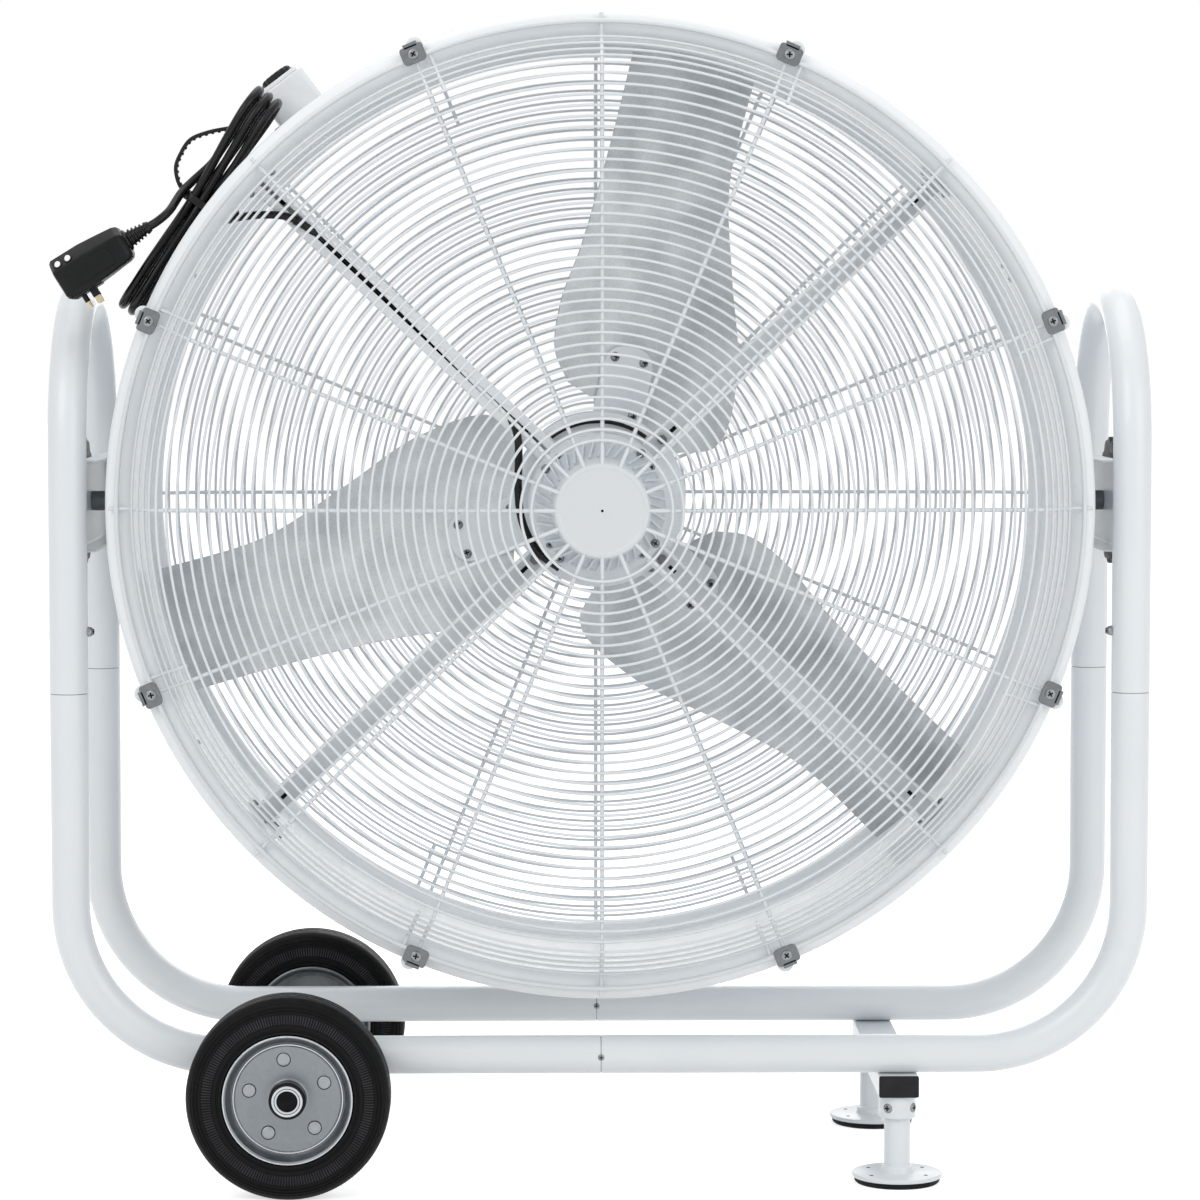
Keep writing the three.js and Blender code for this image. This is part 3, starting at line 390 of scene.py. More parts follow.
zincSteel = platedMetal("steel, zinc plated, pressed", zinc["colour"], zinc["dark"], zinc["roughness"],
                        zinc["spangle"])
# a lighter zinc: the real bright finish of the shaft and the wall rivets, and painted highlight where it
# lines the wheels' rim lip and step
zincBrightAndHighlight = platedMetal("steel, zinc plated, bright and painted highlight", "#C5C9CC", "#A9ADB1", 0.26, 4)
clipSteel = platedMetal("steel strip, zinc plated, barrelled", "#7C7F82", "#66696C", 0.45, 5)
screwSteel = platedMetal("steel screw, zinc plated, forged head", "#93969A", "#7B7E82", 0.32, 3)
rivetSteel = platedMetal("steel rivet, zinc plated, headed", "#A0A4A8", "#8B8F93", 0.42, 4)
prongMetal = platedMetal("brass, nickel plated, drawn", "#C9BFA6", "#B3A888", 0.28, 2)

# Rolled galvanised sheet, as on the blades: matt silvery grey with a sandy grain and slow clouds of tone.
bladeLook = {
    "light": "#D3D6D8",
    "dark": "#ADB1B4",
    "roughness": 0.5,
    "grain": 1.6,     # the real grain is under 1 mm; drawn coarser to show
    "cloud": 45,
}


def rolledSheet(name):
    material = newMaterial(name)
    spot = addNode(material, "ShaderNodeTexCoord").outputs["Object"]
    speck = addNode(material, "ShaderNodeTexNoise", Vector=spot, Scale=1000 / bladeLook["grain"],
                    Detail=3.0, Roughness=0.7).outputs[0]
    cloud = addNode(material, "ShaderNodeTexNoise", Vector=spot, Scale=1000 / bladeLook["cloud"],
                    Detail=4.0).outputs[0]
    blend = addNode(material, "ShaderNodeMix", n0=0.55, n2=speck, n3=cloud).outputs[0]
    share = addNode(material, "ShaderNodeMapRange", n0=blend, n1=0.36, n2=0.64).outputs[0]
    tone = addNode(material, "ShaderNodeMix", {"data_type": "RGBA"}, n0=share, n6=paint(bladeLook["dark"]),
                   n7=paint(bladeLook["light"]))
    gloss = addNode(material, "ShaderNodeMapRange", n0=speck, n1=0.3, n2=0.7,
                    n3=bladeLook["roughness"] - 0.08, n4=bladeLook["roughness"] + 0.1)
    return surfaced(material, tone, gloss, speck, 0.03, Metallic=0.75)


bladeSheet = rolledSheet("galvanised sheet, rolled and pressed")

# Moulded rubber and plastics: the die's fine texture breaks the shine, and handling leaves paler clouds.
moulding = {
    "texture": 0.9,
    "cloud": 20,
    "patch": 6,
}


def moulded(name, colour, light, roughness, depth, coat=0.0, specular=0.5):
    material = newMaterial(name)
    spot = addNode(material, "ShaderNodeTexCoord").outputs["Object"]
    cloud = addNode(material, "ShaderNodeTexNoise", Vector=spot, Scale=1000 / moulding["cloud"],
                    Detail=4.0).outputs[0]
    patch = addNode(material, "ShaderNodeTexNoise", Vector=spot, Scale=1000 / moulding["patch"],
                    Detail=3.0).outputs[0]
    fine = addNode(material, "ShaderNodeTexNoise", Vector=spot, Scale=1000 / moulding["texture"],
                   Detail=2.0).outputs[0]
    share = addNode(material, "ShaderNodeMapRange", n0=cloud, n1=0.35, n2=0.75).outputs[0]
    tone = addNode(material, "ShaderNodeMix", {"data_type": "RGBA"}, n0=share, n6=paint(colour),
                   n7=paint(light))
    gloss = addNode(material, "ShaderNodeMapRange", n0=patch, n1=0.3, n2=0.7, n3=roughness - 0.07,
                    n4=roughness + 0.08)
    relief = addNode(material, "ShaderNodeMix", n0=0.35, n2=fine, n3=patch).outputs[0]
    return surfaced(material, tone, gloss, relief, depth, Coat_Weight=coat, Coat_Roughness=0.2,
                    Specular_IOR_Level=specular)


# Natural rubber is near black and matt; the tyre's serrated band is drawn greyer, and the foot pad's rubber
# is a shade greyer.
tyreRubber = moulded("natural rubber, moulded", "#060607", "#0C0C0E", 0.5, 0.05, specular=0.14)
serratedRubber = moulded("natural rubber, serrated, drawn greyer", "#2B2B2E", "#3A3A3E", 0.75, 0.06,
                         specular=0.2)
footRubber = moulded("rubber sheet, moulded pad", "#0B0B0D", "#151518", 0.7, 0.06, specular=0.2)
# PVC drawn over the cord has a soft oily shine; over the plug it is smoother still.
cordSheath = moulded("flexible PVC, extruded sheath", "#060608", "#0C0C0E", 0.3, 0.04, coat=0.15,
                     specular=0.22)
plugPlastic = moulded("PVC, moulded over the plug, satin", "#08090A", "#101113", 0.36, 0.03, specular=0.2)
# A spark-eroded die gives polypropylene and nylon a fine grain with soft highlights.
blackPlastic = moulded("polypropylene, moulded, spark grain", "#0B0C0E", "#141517", 0.45, 0.04,
                       specular=0.25)
tieNylon = moulded("nylon 6/6, moulded strap", "#0C0C0E", "#161619", 0.36, 0.02, specular=0.25)
capPlastic = moulded("polyethylene, moulded end cap", "#131316", "#1D1D21", 0.6, 0.05, specular=0.25)
# ABS stays nearly glossy: pale covers and buttons with a clean edge highlight.
boxPlastic = moulded("ABS, moulded, pale grey", "#E6E9EB", "#EFF1F2", 0.38, 0.02, 0.15)
whiteButton = moulded("ABS, moulded, white", "#F2F2F0", "#F8F8F6", 0.35, 0.02, 0.2)
# Bare sheet edges inside a slot or a screw's recess look dark because little light gets in.
shadowSteel = moulded("steel edge, bare, in shadow", "#131416", "#1F2022", 0.8, 0.02, specular=0.1)
print("materials made")

# The cord: out of the gland, behind the box, three loops and a half along the barrel, then to the plug.
# s runs down round the barrel, y along its axis and n outward, as the CAD route's points do.
cordRoute = {
    "diameter": 8.5,
    "hankAngle": 144.7,
    "leadStops": [(-70, -62, 481.2), (-51, -79, 482.2), (-36, -95, 482.5)],
    "tailStops": [(-27, -107, 515.6), (-13, -118, 516.9), (0, -131, 515.2), (9, -140, 514.4)],
    "waist": -15,
    "runHalf": 100.75,
    "fold": 25.5,
    "y": -108,
    "n": 496,
    "waistSpread": 5.5,
    "waistPitch": 9,
    "foldPitch": 11,
    "loops": 3,
    "end": -55,
    "sides": 16,
}
plugPlace = {
    "middle": (91.1, -146, 546.6),
    "turn": -31.7,
    "length": 78,
    "relief": 27,
}
switchPlace = {
    "angle": 127.2,      # degrees round the barrel
    "glandY": -55,
    "glandN": 485,
    "glandTip": 47,      # across from the box's middle
}


def hankToWorld(s, y, n):
    angle = math.radians(cordRoute["hankAngle"])
    return Vector((n * math.cos(angle) - s * math.sin(angle), y,
                   barrel["pivotHeight"] + n * math.sin(angle) + s * math.cos(angle)))


# a place on the switch box's side, given across the box, as a hank place
def boxToHank(across, y, outward):
    swing = math.radians(cordRoute["hankAngle"] - switchPlace["angle"])
    return (across * math.cos(swing) - outward * math.sin(swing), y,
            outward * math.cos(swing) + across * math.sin(swing))


def hankPlace(s, side, level):
    share = min(abs(s - cordRoute["waist"]) / cordRoute["runHalf"], 1)
    ease = share * share * (3 - 2 * share)
    spread = cordRoute["waistSpread"] + (cordRoute["fold"] - cordRoute["waistSpread"]) * ease
    pitch = cordRoute["waistPitch"] + (cordRoute["foldPitch"] - cordRoute["waistPitch"]) * ease
    return (s, cordRoute["y"] + side * spread, cordRoute["n"] + level * pitch)


def hankRun(side, fromS, toS, fromLevel, toLevel, steps):
    return [hankPlace(fromS + (toS - fromS) * i / steps, side,
                      fromLevel + (toLevel - fromLevel) * i / steps) for i in range(1, steps + 1)]


def hankFold(end, side, level, steps):
    places = []
    n = cordRoute["n"] + level * cordRoute["foldPitch"]
    for i in range(1, steps + 1):
        angle = i / steps * math.pi
        reach = cordRoute["runHalf"] + cordRoute["fold"] * math.sin(angle)
        y = cordRoute["y"] + side * cordRoute["fold"] * math.cos(angle)
        places.append((cordRoute["waist"] + end * reach, y, n))
    return places


plugMiddle = hankToWorld(*plugPlace["middle"])
plugMatrix = Matrix.Translation(plugMiddle) @ spun(plugPlace["turn"], "Y")
reliefTip = plugMatrix @ Vector((plugPlace["length"] / 2 + plugPlace["relief"], 0, 0))
reliefWay = (plugMatrix.to_3x3() @ Vector((-1, 0, 0))).normalized()
glandTip, glandBase = [hankToWorld(*boxToHank(across, switchPlace["glandY"], switchPlace["glandN"]))
                       for across in (switchPlace["glandTip"], switchPlace["glandTip"] - 10)]
glandWay = (glandTip - glandBase).normalized()

bottom = cordRoute["waist"] + cordRoute["runHalf"]
top = cordRoute["waist"] - cordRoute["runHalf"]
half = cordRoute["loops"] / 2
hankPlaces = [hankPlace(cordRoute["waist"], 1, -half)]
hankPlaces += hankRun(1, cordRoute["waist"] + 9, bottom, -half, -half, 12)
for loop in range(cordRoute["loops"]):
    level = loop - half
    hankPlaces += hankFold(1, 1, level, 14) + hankRun(-1, bottom, top, level, level + 1, 24)
    hankPlaces += hankFold(-1, -1, level + 1, 14)
    if loop < cordRoute["loops"] - 1:
        hankPlaces += hankRun(1, top, bottom, level + 1, level + 1, 24)
hankPlaces += hankRun(1, top, cordRoute["end"], half, half, 6)
cordLine = [glandTip, glandTip + glandWay * cordRoute["diameter"]]
cordLine += [hankToWorld(*stop) for stop in cordRoute["leadStops"]]
cordLine += [hankToWorld(*spot) for spot in hankPlaces]
cordLine += [hankToWorld(*stop) for stop in cordRoute["tailStops"]]
cordLine += [reliefTip - reliefWay * cordRoute["diameter"], reliefTip]
cordLine = curveThrough(cordLine, 3)
for easing in range(3):   # eases the small kinks where runs meet folds; both ends stay straight
    cordLine = cordLine[:3] + [
        (cordLine[i - 1] + cordLine[i] * 2 + cordLine[i + 1]) / 4 for i in range(3, len(cordLine) - 3)
    ] + cordLine[-3:]
cordPiece = piece(
    "power_cord", swept(cordLine, circle(cordRoute["diameter"] / 2, cordRoute["sides"]), upHint=(0, 1, 0)),
    cordSheath, "drum", ["cord_lead", "cord_hank", "cord_tail"], "black_rubber", sharp=60)


# The plug: a long moulded leakage-trip body. Its top front edge is cut to a broad slope that carries the
# buttons, its front has a shallow panel and a parting line, and the pins come out below through an insert.
plugLook = {
    "slope": (18, 12),            # how far the button slope runs across and down
    "buttons": [-30, -18.5],
    "buttonSize": (6.4, 11.0),
    "sleeve": 8,
}


def plugSection(halfWidth, halfHeight, corner, share):
    across, down = plugLook["slope"][0] * share, plugLook["slope"][1] * share
    outline = [(-halfWidth, -halfHeight), (halfWidth, -halfHeight), (halfWidth, halfHeight),
               (-halfWidth + across, halfHeight), (-halfWidth, halfHeight - down)]
    return rounded(outline, [corner, corner, corner, 2.4, 2.4], 5)


def plugLoft():
    end = plugPlace["length"] / 2
    # along, half width, half height, corner, share of the slope
    stations = [(-end, 16.5, 17, 4, 0.8), (-end + 1, 19.2, 19.8, 4.4, 0.9), (-end + 3.5, 20.8, 22, 4.6, 1),
                (-end + 19, 21, 22, 4.6, 1), (-end + 34, 21, 22, 4.6, 1),
                (-end + 51, 20.4, 20.6, 4.6, 0.95), (end - 7, 18.6, 18.6, 4.6, 0.85),
                (end - 3, 17, 17.2, 4.6, 0.8), (end - 1, 14.6, 14.8, 4.6, 0.7), (end, 12.6, 12.6, 4.6, 0.6)]
    points = []
    for along, halfWidth, halfHeight, corner, share in stations:
        points += [Vector((along, y, z)) for y, z in plugSection(halfWidth, halfHeight, corner, share)]
    return points, stitched(len(stations), len(points) // len(stations))


def onPlug(name, shape, material, body="drum", replaces=(), slot=None, bevel=0.5):
    return piece(name, moved(shape, plugMatrix), material, body, replaces, slot, bevel=bevel, bevelSteps=3)


plugBody = onPlug("plug_case", plugLoft(), plugPlastic, replaces=["plug_body"], slot="black_plastic",
                  bevel=0)
slopeTilt = math.degrees(math.atan2(plugLook["slope"][1], plugLook["slope"][0]))
slopeMiddle = at(0, -21 + plugLook["slope"][0] / 2, 22 - plugLook["slope"][1] / 2)
slopeMiddle = slopeMiddle @ spun(slopeTilt, "X") @ at(0, -2.6, 0)
wide, long = plugLook["buttonSize"]
for x, name in zip(plugLook["buttons"], ("test", "reset")):
    spot = at(x, 0, 0) @ slopeMiddle
    bezel = frameRing(oval(wide / 2 + 1.5, long / 2 + 1.5), oval(wide / 2 + 0.3, long / 2 + 0.3), 0.05, 0.7)
    onPlug(f"plug_{name}_bezel", moved(bezel, spot), plugPlastic, bevel=0)
    cap = prism(oval(wide / 2, long / 2), -1, 1.0)
    onPlug(f"{name}_button_cap", moved(cap, spot), whiteButton, f"{name}_button",
                              [f"{name}_button"], "white_plastic", bevel=0.9)
panel = rounded([(-31, -15), (20, -14), (20, 3), (-31, 3)], 2.5)   # the shallow panel on the front
onPlug("plug_front_panel", moved(prism(panel, 20.2, 21.5), spun(90, "X")), plugPlastic)
parting = [(-38.4, -20.9, -16.4), (-34, -21.2, -17.2), (0, -21.2, -17.2), (30, -19.6, -15.6),
           (37.6, -16.8, -13)]
onPlug("plug_parting_line", swept(parting, circle(0.35, 8), upHint=(0, 0, 1)),
                          plugPlastic, bevel=0)
insert = prism(rounded4(-33.7, -2.3, -13.7, 13.7, 4), -23.2, -20)
onPlug("plug_insert", insert, blackPlastic, bevel=0.8)
pinOutlines = [rounded4(-17.2, -10.8, y - 0.75, y + 0.75, 0.3, 2) for y in (-6.35, 6.35)]
pinOutlines.append([(x - 25, y) for x, y in circle(2.4, 24)])
pins = joined(*[prism(outline, -38, -21) for outline in pinOutlines])
onPlug("plug_pins", pins, prongMetal, replaces=["plug_prongs"], slot="prong_brass")
sleeves = []
for outline in pinOutlines:
    middle = sum((Vector(corner) for corner in outline), Vector((0, 0))) / len(outline)
    wider = [tuple(Vector(corner) + (Vector(corner) - middle).normalized() * 0.35) for corner in outline]
    sleeves.append(prism(wider, -23 - plugLook["sleeve"], -22))
onPlug("plug_pin_sleeves", joined(*sleeves), blackPlastic, bevel=0.15)

# The strain relief: a taper of soft rings with slots between, so that it bends with the cord.
reliefOutline = [(0, 37.5), (11.5, 37.5), (11.2, 40.2), (9.8, 41.6)]
for i in range(5):
    along = 43.0 + i * 4.1
    radius = 9.2 - i * 0.66
    reliefOutline += [(radius - 1.6, along - 0.5), (radius - 1.6, along + 0.8), (radius, along + 1.3),
                      (radius - 0.2, along + 3.0)]
reliefOutline += [(5.6, 64.4), (5.2, 66), (0, 66)]
relief = moved(lathed(reliefOutline, 28), spun(-90, "Z"))
onPlug("plug_strain_relief", relief, cordSheath, replaces=["plug_relief"],
                          slot="black_rubber", bevel=0.3)
print("plug made")

# The tie: a nylon strap drawn tight round the hank, its free end looped back, toothed on the inside.
tieLook = {
    "width": 7.6,
    "thick": 1.5,
    "loopThick": 3.6,
    "half": 10.7,
    "low": 477.8,
    "high": 510.0,
    "loop": [(15, 511.5), (17.5, 523), (30, 537), (44.5, 541), (61, 541), (77, 531), (94, 515)],
    "toothPitch": 6.5,
}


def fromHank(shape):
    return moved(shape, aroundBarrel(cordRoute["hankAngle"]))


strapX = -cordRoute["waist"]
bandOutline = rounded4(-tieLook["half"], tieLook["half"], tieLook["low"], tieLook["high"], 5.5, 6)
bandPath = [(strapX, cordRoute["y"] + y, n) for y, n in bandOutline]
strapSection = rounded4(-tieLook["width"] / 2, tieLook["width"] / 2, 0, tieLook["thick"], 0.4, 2)
band = swept(bandPath, strapSection, closed=True, upHint=(1, 0, 0))
headPlace = at(strapX, cordRoute["y"] + 7.4, tieLook["high"] + 3.4)
head = moved(prism(rounded4(-5.2, 5.2, -3.4, 3.4, 1.2), -3.8, 3.8), headPlace)
loopPath = curveThrough([(x, cordRoute["y"] + 8, n) for x, n in tieLook["loop"]], 1.1)
loopSection = rounded4(-tieLook["width"] / 2, tieLook["width"] / 2, -tieLook["loopThick"] / 2,
                       tieLook["loopThick"] / 2, 0.6, 2)
loopStrap = swept(loopPath, loopSection, upHint=(0, 1, 0))
teeth = []
middleOfLoop = Vector((50, cordRoute["y"] + 8, 512))
sinceTooth = 0.0
for before, spot, after in zip(loopPath[6:-6], loopPath[7:-5], loopPath[8:-4]):
    sinceTooth += (spot - before).length
    if sinceTooth < tieLook["toothPitch"]:
        continue
    sinceTooth = 0.0
    along = (after - before).normalized()
    inward = middleOfLoop - spot
    inward = (inward - along * inward.dot(along)).normalized()
    across = along.cross(inward)
    frameAxes = Matrix((along, across, inward)).transposed().to_4x4()
    tooth = prism([(-1.5, -2.6), (1.5, -2.6), (0.7, 2.6), (-0.7, 2.6)], 1.5, 2.9)
    teeth.append(moved(tooth, Matrix.Translation(spot) @ frameAxes))
tiePiece = piece("cord_tie_strap", fromHank(joined(band, head, loopStrap, *teeth)), tieNylon, "drum",
                 ["cord_tie"], "black_plastic", bevel=0.18, sharp=50)
print("tie made")

# The frame tube: 38 mm steel bent round generous corners, butted at swaged seams with a hairline gap.
tubeLook = {
    "sides": 40,
    "bendSteps": 22,
}


def tube(path):
    return swept(path, circle(stand["tubeRadius"], tubeLook["sides"]), upHint=(0, 1, 0))


def cornerPath(side, y):
    centre = (side * (stand["legX"] - stand["bendRadius"]), y, stand["bottomZ"] + stand["bendRadius"])
    return [(side * stand["seamGap"] / 2, y, stand["bottomZ"]),
            *bent(centre, (0, 0, -1), (side, 0, 0), stand["bendRadius"], tubeLook["bendSteps"]),
            (side * stand["legX"], y, stand["seamZ"] - stand["seamGap"] / 2)]


def archPath(side):
    legX = side * stand["legX"]
    rise = bent((legX, 0, stand["springline"]), (0, -1, 0), (0, 0, 1), stand["bendRadius"],
                tubeLook["bendSteps"])
    fall = bent((legX, 0, stand["springline"]), (0, 0, 1), (0, 1, 0), stand["bendRadius"],
                tubeLook["bendSteps"])
    foot = stand["seamZ"] + stand["seamGap"] / 2
    return [(legX, -stand["tubeY"], foot), *rise, *fall[1:], (legX, stand["tubeY"], foot)]


tubeBevel = {"bevel": 0.5, "sharp": 50}
for sideName, side in leftAndRight:
    for faceName, face in frontAndRear:
        piece(f"frame_corner_{faceName}_{sideName}", tube(cornerPath(side, face * stand["tubeY"])),
              powderWhite, "frame", [f"corner_tube_{faceName}_{sideName}"], "white_powder_coat",
              **tubeBevel)
    piece(f"frame_arch_{sideName}", tube(archPath(side)), powderWhite, "frame", [f"arch_tube_{sideName}"],
          "white_powder_coat", **tubeBevel)

# inner sleeves show as a thin shadow in each seam
sleeveRadius = stand["tubeRadius"] - 0.9
sleeve = prism(circle(sleeveRadius, tubeLook["sides"]), -6, 6)
seamSleeves = []
for y in tubeRows:
    seamSleeves.append(moved(sleeve, at(0, y, stand["bottomZ"]) @ spun(90, "Y")))
    for side in (-1, 1):
        seamSleeves.append(moved(sleeve, at(side * stand["legX"], y, stand["seamZ"])))
piece("frame_seam_sleeves", joined(*seamSleeves), zincSteel, "frame", slot="zinc_steel", bevel=0)


# a pan or button head with a cross recess, its seat at z 0 and its top along z; the recess is a dark cross
# standing just proud of the head: painted shade
def screwHead(radius, high):
    dome = [(radius * share, 0.25 * high + 0.75 * high * math.sqrt(max(0, 1 - share ** 2)))
            for share in (0, 0.3, 0.55, 0.75, 0.9, 1.0)]
    outline = dome + [(radius, 0), (0, 0)]
    head = moved(lathed(outline, 28), spun(90, "X"))
    arm, wide = radius * 0.55, radius * 0.15
    cross = [(-arm, -wide), (-wide, -wide), (-wide, -arm), (wide, -arm), (wide, -wide), (arm, -wide),
             (arm, wide), (wide, wide), (wide, arm), (-wide, arm), (-wide, wide), (-arm, wide)]
    return head, prism(cross, high * 0.86, high + 0.06)


screwHeads = {"frame": [], "drum": [], "rotor": []}
screwCrossShades = {"frame": [], "drum": [], "rotor": []}


def addScrew(body, matrix, radius, high):
    head, cross = screwHead(radius, high)
    screwHeads[body].append(moved(head, matrix))
    screwCrossShades[body].append(moved(cross, matrix))


# nuts on the inside of the legs and bolts under the bottom seams hold the swaged joints
legBolts = {"z": 552, "radius": 5, "high": 6.5}
for side in (-1, 1):
    for y in tubeRows:
        spot = at(side * (stand["legX"] - stand["tubeRadius"] + 0.4), y, legBolts["z"])
        addScrew("frame", spot @ spun(-90 * side, "Y"), legBolts["radius"], legBolts["high"])
for y in tubeRows:
    addScrew("frame", at(0, y - stand["tubeRadius"] * 0.98, stand["bottomZ"]) @ spun(90, "X"), 3.2, 1.6)

# The pivot channels: folded steel between the two legs of each side, coped to the tubes and welded.
channel = {
    "outer": 521,
    "web": 3,
    "bottom": 630,
    "top": 720,
    "depth": 23,
}
for sideName, side in leftAndRight:
    outer, low, high, web = channel["outer"], channel["bottom"], channel["top"], channel["web"]
    inner = outer - channel["depth"]
    section = rounded([(inner, low), (outer, low), (outer, high), (inner, high), (inner, high - web),
                       (outer - web, high - web), (outer - web, low + web), (inner, low + web)],
                      [0.4, 4, 4, 0.4, 0.4, 1.5, 1.5, 0.4], 4)
    coped = stand["tubeY"] - 17.4
    # drawn in x and z, long in y
    laid = Matrix(((side, 0, 0, 0), (0, 0, 1, 0), (0, 1, 0, 0), (0, 0, 0, 1)))
    folded = moved(prism(section, -coped, coped), laid)
    beads = []
    for y in (-coped, coped):
        for z in (low + 1, high - 1):
            weld = [(side * (inner + 2), y, z), (side * (outer - 3), y, z)]
            beads.append(swept(weld, circle(1.6, 10), upHint=(0, 0, 1)))
    piece(f"pivot_channel_sheet_{sideName}", joined(folded, *beads), powderWhite, "frame",
          [f"pivot_channel_{sideName}"], "white_powder_coat", bevel=0.3, sharp=50)
print("frame tubes made")

# The wheels: moulded tyres on pressed, riveted rims, with a serrated band and fine rings round each side.
wheel = {
    "axleX": -307,
    "offset": 211,
    "radius": 100,
    "steps": 128,
    "serrations": 190,
    "band": (74.9, 84.4),
    "rivets": 5,
    "rivetCircle": 38.8,
    "rivetRadius": 6.3,
    "axlePast": 29,      # how far the axle runs past the middle of each wheel
}
# half of the tyre's section, as radius and distance along the axle: the side's rings, then the tread
sideWall = [(60, -19.7), (63.9, -19.7), (64.4, -23.6), (65.2, -24.8), (67.6, -25), (68.2, -24.1),
            (69.6, -24.1), (70.2, -25), (74.2, -25.2), (74.9, -24.4), (84.4, -24.4), (85.1, -25.2),
            (87.2, -25.1), (87.7, -24.2), (88.6, -24.1), (89.1, -24.8), (90.4, -24.5), (90.9, -23.6),
            (91.7, -23.4), (92.2, -24.0), (93.4, -23.5), (93.9, -22.6), (94.7, -22.2), (95.3, -22.4),
            (97.4, -20.6), (99.2, -18.0), (100, -15)]
treadHalf = [(100, -10.4), (98.7, -9.9), (98.7, -8.9), (100, -8.4), (100, -1.6), (98.7, -1.1), (98.7, 0)]
halfTyre = sideWall + treadHalf
tyreOutline = halfTyre + [(radius, -along) for radius, along in reversed(halfTyre[:-1])]
tyreOutline += [(60, 19.7)]
rimOutline = rounded([(10.3, -29.5), (11.4, -30.5), (14.6, -30.5), (17.5, -28.5), (17.5, -13), (24, -13.4),
                      (51.5, -15.2), (52.6, -16.3), (54.2, -16.3), (55.2, -15.0), (57.4, -17.6),
                      (60.6, -24.0), (62.2, -25.4), (63.8, -24.2), (63.4, -22.0), (59.7, -20.6),
                      (59.7, 20.6), (63.4, 22.0), (63.8, 24.2), (62.2, 25.4), (60.4, 24.0), (56.7, 17.4),
                      (56.7, -12.4), (48, -12.8), (17.6, -8.5), (15.5, 23), (10.3, 23)],
                     [0.3, 0.4, 0.8, 1.2, 5, 3, 1.0, 0.5, 0.6, 0.8, 5, 1.4, 1.0, 0.8, 1, 1, 1, 1, 0.8, 1,
                      1.4, 3, 1, 3, 3, 1, 0.3], 4)
for faceName, face in frontAndRear:
    wheelMatrix = at(wheel["axleX"], face * wheel["offset"], wheel["radius"])
    wheelMatrix = wheelMatrix @ spun(0 if face < 0 else 180, "Z")
    body = f"{faceName}_wheel"
    ribs = []
    for i in range(wheel["serrations"]):
        for near, far in ((-24.95, -24.2), (24.2, 24.95)):
            rib = box(-0.55, 0.55, near, far, *wheel["band"])
            ribs.append(moved(rib, spun(i * 360 / wheel["serrations"], "Y")))
    piece(f"wheel_tyre_{faceName}", moved(lathed(tyreOutline, wheel["steps"]), wheelMatrix), tyreRubber,
          body, [f"tyre_{faceName}"], "tyre_rubber", sharp=38)
    piece(f"wheel_tyre_serrations_{faceName}", moved(joined(*ribs), wheelMatrix), serratedRubber, body,
          slot="tyre_rubber")
    piece(f"wheel_disc_{faceName}", moved(lathed(rimOutline, wheel["steps"]), wheelMatrix), zincSteel, body,
          [f"wheel_rim_{faceName}"], "zinc_steel", sharp=40)
    dome = [(0, -1.0), (3, -1.0), (5, -0.85), (wheel["rivetRadius"], -0.3), (wheel["rivetRadius"], 0.6),
            (0, 0.6)]
    # a dark ring round each rivet head, in the shadow steel: painted shade where the head meets the disc
    rivetShadeRing = [(6.2, -0.45), (7.0, -0.45), (7.0, 0.6), (6.2, 0.6)]
    rivets, shades = [], []
    for i in range(wheel["rivets"]):
        angle = math.radians(96 + i * 360 / wheel["rivets"])
        spot = at(wheel["rivetCircle"] * math.cos(angle), -14.4, wheel["rivetCircle"] * math.sin(angle))
        rivets.append(moved(lathed(dome, 24), spot))
        shades.append(moved(lathed(rivetShadeRing, 24), spot))
    piece(f"wheel_rivets_{faceName}", moved(joined(*rivets), wheelMatrix), rivetSteel, body,
          slot="zinc_steel")
    piece(f"wheel_rivet_shade_rings_{faceName}", moved(joined(*shades), wheelMatrix), shadowSteel, body)
    # painted highlights: thin rings of lighter zinc laid on the rim's lip and step; and the bearing's
    # sleeve, which is bright steel
    lipHighlight = lathed(rounded([(61.9, -25.9), (63.6, -25.5), (64.1, -24.4), (62.8, -24.0)], 0.5, 3),
                     wheel["steps"])
    stepHighlight = lathed(rounded4(53.0, 54.1, -16.6, -15.9, 0.2, 2), wheel["steps"])
    sleeve = lathed(rounded4(10.4, 15.2, -31.0, -30.2, 0.25, 3), 48)
    piece(f"wheel_rim_highlights_and_sleeve_{faceName}", moved(joined(lipHighlight, stepHighlight, sleeve), wheelMatrix),
          zincBrightAndHighlight, body)
    # two dark rings round the bearing's sleeve, drawn in the foot pad's black
    darkRingOutline = [(15.0, -30.9), (17.3, -30.7), (18.4, -27.4), (17.2, -27.2), (15.0, -30.0)]
    darkRing = lathed(rounded(darkRingOutline, 0.5, 3), 48)
    innerDarkRing = lathed(rounded4(12.2, 12.9, -31.2, -30.9, 0.1, 2), 48)
    piece(f"wheel_dark_rings_{faceName}", moved(joined(darkRing, innerDarkRing), wheelMatrix), footRubber, body)

# the axle: a plain tube through both wheels, closed by dark plugs set just inside its ends, drawn in the
# shadow steel
axleEnd = wheel["offset"] + wheel["axlePast"]
axlePlace = at(wheel["axleX"], 0, wheel["radius"])
axle = lathed(rounded4(7, 10, -axleEnd, axleEnd, 0.5, 2), 48)
piece("axle_tube", moved(axle, axlePlace), zincSteel, "frame", ["wheel_axle"], "zinc_steel")
plugHalf = rounded([(0, axleEnd - 0.6), (9.8, axleEnd - 0.6), (9.8, axleEnd + 0.5), (7.6, axleEnd + 0.5),
                    (6.6, axleEnd - 0.1), (0, axleEnd - 0.1)], 0.2, 2)
plugs = [lathed([(radius, side * along) for radius, along in plugHalf], 40) for side in (-1, 1)]
piece("axle_plugs", moved(joined(*plugs), axlePlace), shadowSteel, "frame")
# short saddles hold the axle under the bottom tubes
saddles = [moved(lathed(rounded4(10.3, 13.4, -16, 16, 0.6, 2), 32), at(0, y, 0)) for y in tubeRows]
piece("axle_sleeves", moved(joined(*saddles), axlePlace), powderWhite, "frame")
print("wheels made")

